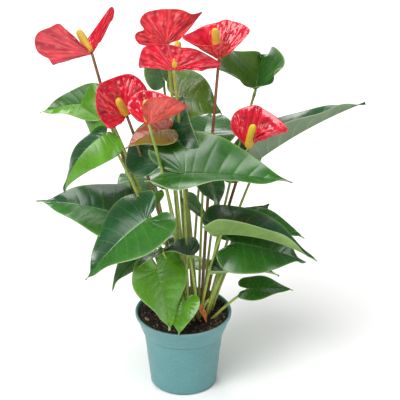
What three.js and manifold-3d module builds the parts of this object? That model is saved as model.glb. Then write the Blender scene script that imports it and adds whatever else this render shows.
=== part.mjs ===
// Potted anthurium: seven flowers and thirty-one leaves rising from one crown, planted in a nursery pot.
// Millimetres, +Z up. The origin is the middle of the pot's flat underside.

import * as THREE from 'three';
import { mergeVertices } from 'three/addons/utils/BufferGeometryUtils.js';
import Module from 'manifold-3d';

const wasm = await Module();
wasm.setup();

// ---------- driving dimensions ----------

// pot
const RIM_DIAMETER = 120;
const POT_HEIGHT = 100;
const BASE_DIAMETER = 82;
const COLLAR_HEIGHT = 26;
const COLLAR_TAPER = 9;
const COLLAR_STEP = 1.5;
const RIM_DEPTH = 4;
const RIM_STEP = 1;
const POT_WALL = 1.5;
const FLOOR_THICKNESS = 2.5;
const EDGE_ROUND = 2;
const DRAIN_HOLE_DIAMETER = 9;
const DRAIN_HOLE_RING = 50;
const DRAIN_HOLES = 6;
const POT_SIDES = 40;

// soil and crown
const SOIL_DROP = 7;
const SOIL_DOME = 2;
const SOIL_DOME_SPREAD = 0.75;
const CROWN_DIAMETER = 54;
const CROWN_HEIGHT = 9;
const CROWN_AT = [13, 5];
const CROWN_DEPTH = 9;
const PLANTING_DEPTH = 5;

// plant: the tables below give places for a plant that stands TABLE_HEIGHT above its soil
const PLANT_HEIGHT = 408;
const TABLE_HEIGHT = 408;
const PETIOLE_DIAMETER = 3;
const FLOWER_STEM_DIAMETER = 3.2;
const BLADE_THICKNESS = 0.9;
const SPATHE_THICKNESS = 1.1;
const SPADIX_DIAMETER = 10.5;
const SHEATH_THICKNESS = 1;
const SPADIX_SEAT = 2.5;
const CLEARANCE = 0.3;

// habit of the plant: how far a stem's middle leans back and rises, in lengths of the stem, and the shape in
// degrees of a blade whose row below gives none
const STEM_LEAN = 0.12;
const STEM_LIFT = 0.05;
const USUAL_DROOP = 30;
const USUAL_FOLD = [15, 15];
const USUAL_CURL = [-20, -20];
const USUAL_LOBES = 1;

// how finely the curved pieces are divided
const OUTLINE_STEPS = 9;
const BLADE_STEPS = 2;
const SPATHE_STEPS = 2;
const TUBE_SIDES = 6;
const TUBE_STEPS = 4;
const SPADIX_SIDES = 8;
const DRAIN_HOLE_SIDES = 10;
const CROWN_SIDES = 14;
const WELD_DISTANCE = 1e-4;

const PLANT_SCALE = PLANT_HEIGHT / TABLE_HEIGHT;
const SOIL_TOP = POT_HEIGHT - SOIL_DROP;
const Y_AXIS = new THREE.Vector3(0, 1, 0);
const Z_AXIS = new THREE.Vector3(0, 0, 1);

// ---------- colours and finishes ----------

const FINISHES = {
  pot: { color: 0x5f9b9b, roughness: 0.45 },
  soil: { color: 0x35241c, roughness: 0.95 },
  crown: { color: 0x6f7a3a, roughness: 0.7 },
  leaf: { color: 0x2f7a35, roughness: 0.4 },
  young_leaf: { color: 0x7a4a24, roughness: 0.35 },
  stem: { color: 0x7c6a35, roughness: 0.5 },
  spathe: { color: 0xd8202e, roughness: 0.2 },
  spadix: { color: 0xe8c832, roughness: 0.6 },
  sheath: { color: 0xc2552a, roughness: 0.8 },
};

// ---------- leaves ----------

// Outline of the right half of a heart-shaped blade, tip first, in blade lengths: along, across, and the place
// on the midrib that a vein to this margin point leaves from.
const LEAF_OUTLINE = [
  [1.0, 0.0, 1.0],
  [0.93, 0.05, 0.9],
  [0.84, 0.14, 0.77],
  [0.7, 0.36, 0.58],
  [0.52, 0.63, 0.38],
  [0.32, 0.87, 0.19],
  [0.1, 1.0, 0.05],
  [-0.08, 0.96, 0.0],
  [-0.2, 0.78, 0.0],
  [-0.26, 0.54, 0.0],
  [-0.23, 0.3, 0.0],
  [-0.14, 0.12, 0.0],
  [-0.05, 0.03, 0.0],
];

// Each leaf: the root on the crown, the joint of petiole and blade, and the tip (from the pot's axis and the soil
// surface), the blade's width, its roll about the line from joint to tip, the droop along that line, the fold
// and curl of its left and right halves, in degrees, and the share of the usual length of its basal lobes.
const LEAVES = [
  { name: 'leaf_left_top', root: [-6, 12], joint: [-100, 15, 286], tip: [-171, 5, 279], width: 60, roll: 22 },
  { name: 'leaf_left_hanging', root: [-4, 5], joint: [-98, 2, 300], tip: [-104, -12, 245], width: 50,
    roll: -10, droop: 45, fold: [10, 10] },
  { name: 'leaf_left_arching', root: [-1, -7], joint: [-90, -35, 272], tip: [-140, -50, 200], width: 60,
    roll: 28, droop: 85, fold: [-22, -22], lobes: 0.4 },
  { name: 'leaf_left_wide', root: [-3, -1], joint: [-78, -20, 153], tip: [-178, 0, 161], width: 84, roll: 22,
    droop: 30 },
  { name: 'leaf_front_large', root: [4, -13], joint: [-43, -58, 168], tip: [-116, -85, 100], width: 98,
    roll: 15, fold: [12, 12] },
  { name: 'leaf_front_grey', root: [-1, -14], joint: [-43, -46, 115], tip: [-86, -70, 76], width: 42,
    roll: 10, droop: 60, fold: [30, 30] },
  { name: 'leaf_front_bright', root: [8, -18], joint: [-33, -52, 95], tip: [-17, -72, 21], width: 90,
    roll: 10, droop: 25, fold: [14, 14] },
  { name: 'leaf_front_small', root: [14, -15], joint: [2, -41, 43], tip: [-5, -60, 7], width: 42, droop: 50,
    fold: [20, 20] },
  { name: 'leaf_front_cupped', root: [19, -12], joint: [8, -33, 104], tip: [-26, -45, 118], width: 46,
    roll: 14, droop: 20, fold: [34, 44], curl: [12, 12] },
  { name: 'leaf_centre_large', root: [6, -8], joint: [1, -55, 228], tip: [130, -65, 222], width: 104,
    roll: -22, droop: 16, fold: [34, 44], curl: [-12, -22], lobes: 1.25 },
  { name: 'leaf_centre_dark', root: [3, 3], joint: [-26, -32, 230], tip: [2, 12, 300], width: 106, droop: 20,
    fold: [8, 8], curl: [-25, -25] },
  { name: 'leaf_young_bronze', root: [6, -3], joint: [-17, -28, 274], tip: [-67, -39, 253], width: 46,
    roll: 10, droop: 40, fold: [-5, 20], lobes: 0.6, finish: 'young_leaf' },
  { name: 'leaf_right_long', root: [28, 5], joint: [94, 14, 213], tip: [221, 54, 269], width: 98, roll: 22,
    droop: 15, fold: [42, 42], curl: [-15, -15] },
  { name: 'leaf_top_right', root: [26, 19], joint: [88, 45, 290], tip: [96, 106, 306], width: 126, droop: 34,
    fold: [46, 56], curl: [6, 6], lobes: 0.15 },
  { name: 'leaf_top_centre', root: [17, 21], joint: [-8, 30, 288], tip: [47, 25, 267], width: 78, roll: -30,
    droop: 60, fold: [20, 20] },
  { name: 'leaf_top_left', root: [0, 22], joint: [-24, 58, 300], tip: [-44, 82, 334], width: 54 },
  { name: 'leaf_right_upper', root: [31, 12], joint: [78, 42, 96], tip: [107, 60, 126], width: 56, roll: -40,
    lobes: 0.6 },
  { name: 'leaf_right_middle', root: [33, 6], joint: [82, 25, 115], tip: [150, 20, 98], width: 52, roll: -5,
    fold: [36, 20] },
  { name: 'leaf_right_pale', root: [20, -6], joint: [46, -42, 139], tip: [162, -50, 106], width: 84, roll: 18,
    droop: 35, fold: [54, 40], curl: [-12, -12], lobes: 0.7 },
  { name: 'leaf_right_dark', root: [29, -1], joint: [66, -24, 116], tip: [150, -15, 84], width: 84, roll: -32,
    droop: 30, fold: [12, 8] },
  { name: 'leaf_right_gutter', root: [26, -7], joint: [48, -24, 74], tip: [118, -22, 70], width: 50, roll: 14,
    fold: [62, 36], lobes: 0.8 },
  { name: 'leaf_right_low', root: [31, -13], joint: [82, 0, 38], tip: [136, 0, 36], width: 40, roll: -20,
    droop: 25, fold: [12, 12] },
  { name: 'leaf_inner_hanging', root: [19, 12], joint: [25, 6, 196], tip: [44, -6, 152], width: 56,
    droop: 40 },
  { name: 'leaf_inner_grey', root: [12, 15], joint: [6, 20, 152], tip: [29, 12, 124], width: 34 },
  { name: 'leaf_inner_pale', root: [-8, 1], joint: [-34, 5, 169], tip: [-42, -8, 147], width: 26 },
  { name: 'leaf_back_right', root: [25, 26], joint: [45, 75, 160], tip: [85, 150, 140], width: 92,
    fold: [20, 20] },
  { name: 'leaf_back_left', root: [-6, 18], joint: [-35, 70, 145], tip: [-75, 145, 125], width: 90 },
  { name: 'leaf_back_low_right', root: [30, 19], joint: [65, 62, 75], tip: [120, 105, 45], width: 70,
    droop: 45 },
  { name: 'leaf_back_low_left', root: [3, 26], joint: [-40, 55, 70], tip: [-85, 100, 35], width: 76,
    droop: 50 },
  { name: 'leaf_back_high', root: [9, 24], joint: [25, 70, 215], tip: [35, 150, 200], width: 84, droop: 40 },
  { name: 'leaf_back_tip', root: [17, 28], joint: [12, 62, 35], tip: [14, 110, 15], width: 46, droop: 50 },
];

// Papery sheaths that stand at the foot of the stems, given as blades with no petiole.
const SHEATHS = [
  { name: 'sheath_orange', joint: [21, -16, 18], tip: [29, -24, 1], width: 10, finish: 'sheath' },
  { name: 'sheath_green', joint: [23, -14, 12], tip: [36, -8, 32], width: 12, finish: 'crown' },
  { name: 'sheath_red', joint: [1, -21, 20], tip: [0, -25, 8], width: 7, finish: 'spathe' },
];

// ---------- flowers ----------

// Each flower: the root of its stem, the joint where stem, spathe and spadix meet, the way the spadix points
// from that joint, the lean of its stem where that isn't the usual one, and the margin of its spathe from that
// joint, all round from one side of the notch to the other. A fourth number on a margin point arches the vein
// that leads to it.
const FLOWERS = [
  { name: 'flower_left', root: [-8, 7], joint: [-107, 12, 353], spadix: [-17, 14, 25], lean: -0.12, margin: [
    [9.3, 3, 15], [16.2, 6.5, 27], [22.3, 9.6, 38.5], [27, 12, 48], [25, 12, 55], [20, 11, 53], [8, 10, 36],
    [-3, 8, 20], [-15, 2, 4], [-30, -12, 1], [-42, -27, 1], [-46, -34, 3], [-50, -32, 8], [-57, -28, 10],
    [-64, -26, 17], [-66, -24, 30], [-61, -20, 38], [-49, -14, 41], [-38, -8, 43], [-29, -6.5, 33.5],
    [-18, -5.5, 21.5], [-7, -3.5, 9.5]] },
  { name: 'flower_left_low', root: [0, -2], joint: [-66, -20, 287], spadix: [-10, -12, 28], margin: [
    [13, 6, 5], [24, 12, 14], [25, 18, 24, 4], [19, 22, 34, 8], [11, 24, 41, 8], [1, 22, 45, 6],
    [-14, 10, 46, 4], [-30, -10, 47], [-34, -16, 39], [-35, -20, 27], [-32, -24, 13], [-26, -26, 5],
    [-20, -26, -3], [-11, -18, -4], [-6, -8, -4]] },
  { name: 'flower_centre', root: [10, -5], joint: [-39, -66, 299], spadix: [-3, 8, 28], margin: [
    [-7, -14, 20], [-7, -22, 35], [1, -24, 46], [11, -22, 47, -2], [24, -18, 44, -3], [37, -12, 36, -3],
    [46, 0, 24, -3], [31, 16, 25], [16, 24, 28], [4, 26, 31], [-8, 24, 32], [-19, 18, 28], [-24, 12, 22],
    [-24, 6, 16], [-16, 2, 7], [-7, 0, 3]] },
  { name: 'flower_top_back', root: [7, 18], joint: [-19, 12, 366], spadix: [6, 22, 8], margin: [
    [-12, -8, 0], [-23, -16, 5], [-32, -20, 9], [-37, -18, 16], [-35, -12, 20], [-27, -4, 20], [-31, 0, 26],
    [-30, 4, 32], [-24, 8, 37], [-11, 12, 39], [4, 14, 39], [18, 16, 37], [30, 18, 31], [42, 28, 29],
    [33, 18, 19], [23, 10, 10], [15, 4, 3]] },
  { name: 'flower_top_front', root: [13, 6], joint: [-10, -18, 346], spadix: [5, 23, 27], margin: [
    [-9, 0, 2], [-22, 0, 4], [-34, 0, 5], [-41, -2, 6], [-40, 2, 17], [-35, 8, 26], [-22, 10, 29],
    [-7, 10, 29], [8, 8, 26], [24, 6, 25], [40, 6, 17], [55, 4, 6], [45, 2, 1], [28, 0, 3], [14, 0, 5],
    [6, 0, 3]] },
  { name: 'flower_top_right', root: [22, 1], joint: [43, 0, 351], spadix: [-5, 2, 40], margin: [
    [12, -2, 10], [20, 2, 17], [28, 8, 23], [36, 16, 31], [29, 24, 35], [16, 30, 37], [7, 32, 38],
    [-3, 30, 35], [-18, 22, 34], [-31, 8, 33], [-42, -10, 35], [-34, -22, 34], [-21, -28, 33], [-8, -28, 33],
    [3, -22, 33], [13, -14, 28], [12, -6, 17]] },
  { name: 'flower_right', root: [25, 12], joint: [78, -14, 240], spadix: [6, -10, 37], margin: [
    [10, -12, 17, 10], [16, -18, 20, 16], [24, -22, 25, 18], [35, -20, 29, 16], [47, -12, 31, 10],
    [43, -2, 34, 5], [32, 6, 41, 2], [19, 14, 46], [10, 17, 50], [0, 18, 48], [-10, 16, 45], [-17, 10, 41],
    [-20, 4, 34], [-18, -2, 26], [-10, -4, 17], [-4, -2, 9]] },
];

// ---------- solids ----------

function toSolid(geometry) {
  const bare = geometry.clone();
  bare.deleteAttribute('normal');
  bare.deleteAttribute('uv');
  const merged = mergeVertices(bare, WELD_DISTANCE);
  const mesh = new wasm.Mesh({
    numProp: 3,
    vertProperties: new Float32Array(merged.attributes.position.array),
    triVerts: new Uint32Array(merged.index.array),
  });
  return new wasm.Manifold(mesh);
}

function toGeometry(solid) {
  const mesh = solid.getMesh();
  const geometry = new THREE.BufferGeometry();
  geometry.setAttribute('position', new THREE.BufferAttribute(new Float32Array(mesh.vertProperties), 3));
  geometry.setIndex(new THREE.BufferAttribute(new Uint32Array(mesh.triVerts), 1));
  geometry.computeVertexNormals();
  return geometry;
}

// the largest of the bodies that a cut leaves
function largestBody(solid) {
  const bodies = solid.decompose();
  return bodies.reduce((best, body) => (body.volume() > best.volume() ? body : best));
}

function cut(solid, cutters) {
  const kept = cutters.reduce((rest, cutter) => rest.subtract(cutter), solid);
  return largestBody(kept);
}

function vector(values) {
  return new THREE.Vector3(...values);
}

// a place from the tables, on a plant of the chosen height
function place(values) {
  return vector(values).multiplyScalar(PLANT_SCALE);
}

// the vertex number of a point, which pieces of one surface share
function vertexNumber(surface, point) {
  const key = point.toArray().map((value) => value.toFixed(3)).join();
  if (!surface.numbers.has(key)) {
    surface.numbers.set(key, surface.points.length);
    surface.points.push(point);
  }
  return surface.numbers.get(key);
}

function addPatch(surface, rows, flipped) {
  const addTriangle = (a, b, c) => {
    if (a !== b && b !== c && c !== a) {
      surface.triangles.push(flipped ? [a, c, b] : [a, b, c]);
    }
  };
  const numbers = rows.map((row) => row.map((point) => vertexNumber(surface, point)));
  for (let i = 1; i < numbers.length; i += 1) {
    for (let j = 1; j < numbers[i].length; j += 1) {
      addTriangle(numbers[i - 1][j - 1], numbers[i][j - 1], numbers[i][j]);
      addTriangle(numbers[i - 1][j - 1], numbers[i][j], numbers[i - 1][j]);
    }
  }
}

// a closed sheet of even thickness on both sides of an open surface
function sheet(surface, thickness) {
  const normals = surface.points.map(() => new THREE.Vector3());
  for (const corners of surface.triangles) {
    const [a, b, c] = corners.map((number) => surface.points[number]);
    const normal = b.clone().sub(a).cross(c.clone().sub(a));
    corners.forEach((number) => normals[number].add(normal));
  }
  const offset = (side) => surface.points.flatMap((point, number) => {
    const step = normals[number].clone().normalize().multiplyScalar(side * thickness / 2);
    return point.clone().add(step).toArray();
  });
  const count = surface.points.length;
  const faces = [];
  const edges = new Set(surface.triangles.flatMap(([a, b, c]) => [`${a},${b}`, `${b},${c}`, `${c},${a}`]));
  for (const [a, b, c] of surface.triangles) {
    faces.push(a, b, c, a + count, c + count, b + count);
    for (const [from, to] of [[a, b], [b, c], [c, a]]) {
      if (!edges.has(`${to},${from}`)) {
        faces.push(from, from + count, to + count, from, to + count, to);
      }
    }
  }
  const geometry = new THREE.BufferGeometry();
  geometry.setAttribute('position', new THREE.Float32BufferAttribute([...offset(1), ...offset(-1)], 3));
  geometry.setIndex(faces);
  return toSolid(geometry);
}

function tube(curve, diameter) {
  const section = new THREE.Shape();
  for (let side = 0; side < TUBE_SIDES; side += 1) {
    const angle = 2 * Math.PI * side / TUBE_SIDES;
    const point = [diameter / 2 * Math.cos(angle), diameter / 2 * Math.sin(angle)];
    if (side === 0) {
      section.moveTo(...point);
    } else {
      section.lineTo(...point);
    }
  }
  section.closePath();
  const options = { steps: TUBE_STEPS, bevelEnabled: false, extrudePath: curve };
  return toSolid(new THREE.ExtrudeGeometry(section, options));
}

function lathe(profile, sides) {
  const geometry = new THREE.LatheGeometry(profile.map(([r, z]) => new THREE.Vector2(r, z)), sides);
  geometry.rotateX(Math.PI / 2);
  return geometry;
}

// ---------- stems ----------

// A stem leaves its root steeply, leans out as it rises, and ends at its joint.
function stemCurve(row, extra) {
  const foot = new THREE.Vector3(row.root[0], row.root[1], -PLANTING_DEPTH);
  const joint = place(row.joint);
  const rise = joint.clone().sub(foot);
  const middle = foot.clone().add(joint).multiplyScalar(0.5);
  const lean = row.lean ?? STEM_LEAN;
  middle.x -= lean * rise.x;
  middle.y -= lean * rise.y;
  middle.z += STEM_LIFT * rise.length();
  const end = joint.clone().addScaledVector(joint.clone().sub(middle).normalize(), extra);
  return new THREE.QuadraticBezierCurve3(foot, middle, end);
}

// ---------- blades ----------

function smoothOutline(points, steps) {
  const curve = new THREE.CatmullRomCurve3(points.map(vector), false, 'catmullrom', 0.5);
  return curve.getPoints(steps);
}

// a blade that points more steeply than this, as the sine of its angle, faces +Y instead of up
const STEEPEST = 0.98;

// directions of a blade: along it, to its left, and up from its face
function bladeAxes(joint, tip, roll) {
  const along = tip.clone().sub(joint).normalize();
  const upward = Math.abs(along.z) > STEEPEST ? Y_AXIS : Z_AXIS;
  const level = upward.clone().addScaledVector(along, -upward.dot(along)).normalize();
  const side = level.clone().cross(along);
  const angle = THREE.MathUtils.degToRad(roll);
  const up = level.multiplyScalar(Math.cos(angle)).addScaledVector(side, Math.sin(angle));
  return { along, up, left: up.clone().cross(along) };
}

// A blade is an arc from joint to tip, with both halves folded up from the midrib and curled toward the margin.
function bladeSurface(row, growth) {
  const joint = place(row.joint);
  const reach = place(row.tip).sub(joint);
  const tip = joint.clone().add(reach.setLength(reach.length() + growth));
  const { along, up, left } = bladeAxes(joint, tip, row.roll ?? 0);
  const droop = THREE.MathUtils.degToRad(row.droop ?? USUAL_DROOP);
  const lobes = row.lobes ?? USUAL_LOBES;
  const radius = tip.distanceTo(joint) / (2 * Math.sin(droop / 2));
  const halfWidth = row.width * PLANT_SCALE / 2 + growth;
  const outline = smoothOutline(LEAF_OUTLINE, OUTLINE_STEPS);
  const surface = { points: [], triangles: [], numbers: new Map() };
  for (const side of [0, 1]) {
    const sign = side === 0 ? 1 : -1;
    const fold = THREE.MathUtils.degToRad((row.fold ?? USUAL_FOLD)[side]);
    const curl = THREE.MathUtils.degToRad((row.curl ?? USUAL_CURL)[side]);
    const facePoint = (p, q) => {
      const lean = p > 0 ? droop * (0.5 - p) : droop / 2;
      const behind = Math.min(p, 0) * radius * droop * lobes;
      const x = p > 0 ? radius * (Math.sin(droop / 2) - Math.sin(lean)) : behind * Math.cos(lean);
      const z = p > 0 ? radius * (Math.cos(lean) - Math.cos(droop / 2)) : behind * Math.sin(lean);
      const across = halfWidth * (Math.sin(fold + curl * q) - Math.sin(fold)) / curl;
      const lift = halfWidth * (Math.cos(fold) - Math.cos(fold + curl * q)) / curl;
      const point = joint.clone().addScaledVector(along, x - lift * Math.sin(lean));
      return point.addScaledVector(up, z + lift * Math.cos(lean)).addScaledVector(left, sign * across);
    };
    const rows = outline.map((margin) => {
      const start = Math.max(margin.z, 0);
      const points = [];
      for (let step = 0; step <= BLADE_STEPS; step += 1) {
        const share = step / BLADE_STEPS;
        points.push(facePoint(start + (margin.x - start) * share, margin.y * share));
      }
      return points;
    });
    addPatch(surface, rows, side === 0);
  }
  return surface;
}

// A spathe is a fan of veins from its joint to its margin.
function spatheSurface(row, growth) {
  const joint = place(row.joint);
  const up = place(row.spadix).normalize();
  const surface = { points: [], triangles: [], numbers: new Map() };
  const rows = row.margin.map(([x, y, z, arch]) => {
    const end = place([x, y, z]);
    end.setLength(end.length() + growth);
    const points = [];
    for (let step = 0; step <= SPATHE_STEPS; step += 1) {
      const share = step / SPATHE_STEPS;
      const point = joint.clone().addScaledVector(end, share);
      points.push(point.addScaledVector(up, 4 * (arch ?? 0) * PLANT_SCALE * share * (1 - share)));
    }
    return points;
  });
  addPatch(surface, rows, false);
  return surface;
}

// ---------- spadix ----------

// Outline of a spadix from its foot up, as shares of its radius and length.
const SPADIX_OUTLINE = [[0.6, 0], [1, 0.25], [0.92, 0.7], [0.6, 0.93]];

// A blunt spike that stands just above the end of its stem.
function spadixSolid(row, growth) {
  const length = place(row.spadix).length();
  const radius = SPADIX_DIAMETER * PLANT_SCALE / 2 + growth;
  const bottom = SPADIX_SEAT * PLANT_SCALE - growth;
  const outline = SPADIX_OUTLINE.map(([out, up]) => [out * radius, Math.max(up * length, bottom)]);
  const profile = [[0, bottom], ...outline, [0, length + growth]];
  const geometry = lathe(profile, SPADIX_SIDES);
  geometry.applyQuaternion(new THREE.Quaternion().setFromUnitVectors(Z_AXIS, place(row.spadix).normalize()));
  geometry.translate(...place(row.joint).toArray());
  return toSolid(geometry);
}

// ---------- pot, soil and crown ----------

const COLLAR_FOOT = POT_HEIGHT - COLLAR_HEIGHT;
const COLLAR_FOOT_RADIUS = RIM_DIAMETER / 2 - COLLAR_TAPER;
const COLLAR_TOP_RADIUS = RIM_DIAMETER / 2 - RIM_STEP;
const WALL_TOP_RADIUS = COLLAR_FOOT_RADIUS - COLLAR_STEP;
const COLLAR_LEDGE = COLLAR_FOOT + POT_WALL;

// outer radius of the wall below the collar
function wallRadius(z) {
  return BASE_DIAMETER / 2 + (WALL_TOP_RADIUS - BASE_DIAMETER / 2) * z / COLLAR_FOOT;
}

// outer radius of the collar
function collarRadius(z) {
  return COLLAR_FOOT_RADIUS + (COLLAR_TOP_RADIUS - COLLAR_FOOT_RADIUS) * (z - COLLAR_FOOT) / COLLAR_HEIGHT;
}

function potSolid() {
  const rimFoot = POT_HEIGHT - RIM_DEPTH;
  const shell = lathe([
    [0, 0],
    [BASE_DIAMETER / 2 - EDGE_ROUND, 0],
    [wallRadius(EDGE_ROUND), EDGE_ROUND],
    [WALL_TOP_RADIUS, COLLAR_FOOT],
    [COLLAR_FOOT_RADIUS, COLLAR_FOOT],
    [collarRadius(rimFoot), rimFoot],
    [RIM_DIAMETER / 2, rimFoot],
    [RIM_DIAMETER / 2, POT_HEIGHT],
    [collarRadius(POT_HEIGHT) - POT_WALL, POT_HEIGHT],
    [collarRadius(COLLAR_LEDGE) - POT_WALL, COLLAR_LEDGE],
    [WALL_TOP_RADIUS - POT_WALL, COLLAR_LEDGE],
    [wallRadius(FLOOR_THICKNESS) - POT_WALL, FLOOR_THICKNESS],
    [0, FLOOR_THICKNESS],
  ], POT_SIDES);
  const holes = [];
  for (let hole = 0; hole < DRAIN_HOLES; hole += 1) {
    const angle = 2 * Math.PI * hole / DRAIN_HOLES;
    const drill = new THREE.CylinderGeometry(DRAIN_HOLE_DIAMETER / 2, DRAIN_HOLE_DIAMETER / 2,
      4 * FLOOR_THICKNESS, DRAIN_HOLE_SIDES);
    drill.rotateX(Math.PI / 2);
    drill.translate(DRAIN_HOLE_RING / 2 * Math.cos(angle), DRAIN_HOLE_RING / 2 * Math.sin(angle), 0);
    holes.push(toSolid(drill));
  }
  return cut(toSolid(shell), holes);
}

// the room that the rim of the pot takes, with the clearance round it, seen from the soil surface
function rimCutter() {
  const inside = WALL_TOP_RADIUS - POT_WALL - CLEARANCE;
  const geometry = lathe([
    [inside, COLLAR_FOOT - SOIL_TOP],
    [RIM_DIAMETER / 2 + CLEARANCE, COLLAR_FOOT - SOIL_TOP],
    [RIM_DIAMETER / 2 + CLEARANCE, SOIL_DROP + CLEARANCE],
    [collarRadius(POT_HEIGHT) - POT_WALL - CLEARANCE, SOIL_DROP + CLEARANCE],
    [inside, COLLAR_LEDGE - SOIL_TOP],
    [inside, COLLAR_FOOT - SOIL_TOP],
  ], POT_SIDES);
  return toSolid(geometry);
}

// The soil fills the pot to SOIL_TOP, clear of the wall, and is made with its surface at height zero.
function soilSolid() {
  const wallGap = POT_WALL + CLEARANCE;
  const geometry = lathe([
    [0, FLOOR_THICKNESS + CLEARANCE],
    [wallRadius(FLOOR_THICKNESS) - wallGap, FLOOR_THICKNESS + CLEARANCE],
    [wallRadius(COLLAR_FOOT) - wallGap, COLLAR_LEDGE + CLEARANCE],
    [collarRadius(COLLAR_LEDGE) - wallGap, COLLAR_LEDGE + CLEARANCE],
    [collarRadius(SOIL_TOP) - wallGap, SOIL_TOP],
    [SOIL_DOME_SPREAD * RIM_DIAMETER / 2, SOIL_TOP + SOIL_DOME],
    [0, SOIL_TOP + SOIL_DOME],
  ], POT_SIDES);
  geometry.translate(0, 0, -SOIL_TOP);
  return toSolid(geometry);
}

// Outline of the crown below and above the soil surface, as shares of its radius, and of its height above.
const CROWN_FOOT_SHARE = 0.95;
const CROWN_SHOULDER = [0.85, 0.5];
const CROWN_TOP_SHARE = 0.45;

function crownSolid(growth) {
  const radius = CROWN_DIAMETER / 2 + growth;
  const height = CROWN_HEIGHT + growth;
  const geometry = lathe([
    [0, -CROWN_DEPTH - growth],
    [CROWN_FOOT_SHARE * radius, -CROWN_DEPTH - growth],
    [radius, 0],
    [CROWN_SHOULDER[0] * radius, CROWN_SHOULDER[1] * height],
    [CROWN_TOP_SHARE * radius, height],
    [0, height],
  ], CROWN_SIDES);
  geometry.translate(...CROWN_AT, 0);
  return toSolid(geometry);
}

// ---------- assembly ----------

const group = new THREE.Group();
const planting = new THREE.Group();
planting.position.z = SOIL_TOP;
group.add(planting);

function addPiece(parent, name, solid, finish) {
  const { color, roughness } = FINISHES[finish];
  const material = new THREE.MeshStandardMaterial({ color, roughness, metalness: 0 });
  const mesh = new THREE.Mesh(toGeometry(solid), material);
  mesh.name = name;
  parent.add(mesh);
}

addPiece(group, 'pot', potSolid(), 'pot');

// stems come first, each clear of those before it
const stemRows = [
  ...LEAVES.map((row) => ({ row, diameter: row.petiole ?? PETIOLE_DIAMETER })),
  ...FLOWERS.map((row) => ({ row, diameter: FLOWER_STEM_DIAMETER })),
];
const stemCutters = [];
const stems = new Map();
for (const { row, diameter } of stemRows) {
  stems.set(row.name, cut(tube(stemCurve(row, 0), diameter), stemCutters));
  stemCutters.push(tube(stemCurve(row, CLEARANCE), diameter + 2 * CLEARANCE));
}

// then the flowers, with each spathe cut to clear every stem and the spadices and spathes before it
const flatCutters = [];
const spadixCutters = FLOWERS.map((row) => spadixSolid(row, CLEARANCE));
const rim = rimCutter();
FLOWERS.forEach((row) => {
  addPiece(planting, `${row.name}_stem`, stems.get(row.name), 'stem');
  const otherStems = stemCutters.filter((cutter, index) => stemRows[index].row !== row);
  addPiece(planting, `${row.name}_spadix`, cut(spadixSolid(row, 0), otherStems), 'spadix');
  const spathe = sheet(spatheSurface(row, 0), SPATHE_THICKNESS);
  const cutters = [...stemCutters, ...spadixCutters, ...flatCutters];
  addPiece(planting, `${row.name}_spathe`, cut(spathe, cutters), 'spathe');
  flatCutters.push(sheet(spatheSurface(row, CLEARANCE), SPATHE_THICKNESS + 2 * CLEARANCE).add(spathe));
});

// then the leaves, each blade joined to its own petiole
LEAVES.forEach((row, number) => {
  const otherStems = stemCutters.filter((cutter, index) => index !== number);
  const cutters = [...otherStems, ...spadixCutters, ...flatCutters, rim];
  const blade = cut(sheet(bladeSurface(row, 0), BLADE_THICKNESS), cutters);
  const petiole = cut(stems.get(row.name), [rim]);
  addPiece(planting, row.name, largestBody(blade.add(petiole)), row.finish ?? 'leaf');
  flatCutters.push(sheet(bladeSurface(row, CLEARANCE), BLADE_THICKNESS + 2 * CLEARANCE));
});

// the papery sheaths at the foot of the stems
SHEATHS.forEach((row) => {
  const sheath = sheet(bladeSurface(row, 0), SHEATH_THICKNESS);
  addPiece(planting, row.name, cut(sheath, [...stemCutters, ...flatCutters, crownSolid(CLEARANCE)]), row.finish);
  flatCutters.push(sheet(bladeSurface(row, CLEARANCE), SHEATH_THICKNESS + 2 * CLEARANCE));
});

addPiece(planting, 'crown', cut(crownSolid(0), stemCutters), 'crown');
addPiece(planting, 'soil', cut(soilSolid(), [...stemCutters, ...flatCutters, crownSolid(CLEARANCE)]), 'soil');

export default group;
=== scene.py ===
import math

import bmesh
import bpy
import numpy as np
from bpy.props import FloatProperty, FloatVectorProperty, IntProperty, PointerProperty
from mathutils import Matrix, Vector, noise


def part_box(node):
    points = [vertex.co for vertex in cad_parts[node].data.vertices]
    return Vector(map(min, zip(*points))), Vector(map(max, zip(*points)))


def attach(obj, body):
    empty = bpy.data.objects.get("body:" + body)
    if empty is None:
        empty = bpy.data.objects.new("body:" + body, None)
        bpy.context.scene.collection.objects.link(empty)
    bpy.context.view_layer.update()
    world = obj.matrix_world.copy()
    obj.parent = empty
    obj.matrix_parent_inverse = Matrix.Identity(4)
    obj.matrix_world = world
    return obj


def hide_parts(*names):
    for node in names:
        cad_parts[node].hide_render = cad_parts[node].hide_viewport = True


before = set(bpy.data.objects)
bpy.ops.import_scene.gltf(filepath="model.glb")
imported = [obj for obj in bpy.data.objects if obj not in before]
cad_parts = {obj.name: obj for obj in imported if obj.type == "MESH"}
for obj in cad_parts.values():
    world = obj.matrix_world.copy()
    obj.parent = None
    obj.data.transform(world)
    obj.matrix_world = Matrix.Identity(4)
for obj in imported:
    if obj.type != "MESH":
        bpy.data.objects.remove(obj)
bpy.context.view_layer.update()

bl_info = {
    "name": "Potted Anthurium",
    "version": (1, 0, 0),
    "blender": (4, 5, 0),
    "location": "View3D > Sidebar > Anthurium",
    "description": "Builds a flowering anthurium in a nursery pot, with its soil, leaves, flowers and studio",
    "category": "Object",
}

MM = 0.001
POT_LOW, POT_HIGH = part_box("pot")
SOIL_DROP = 7 * MM
SOIL_Z = POT_HIGH.z - SOIL_DROP
WELD = 1e-6
TINY = 1e-12

# ---------- the plant's tables, in millimetres from the pot's axis and the soil surface ----------

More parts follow.
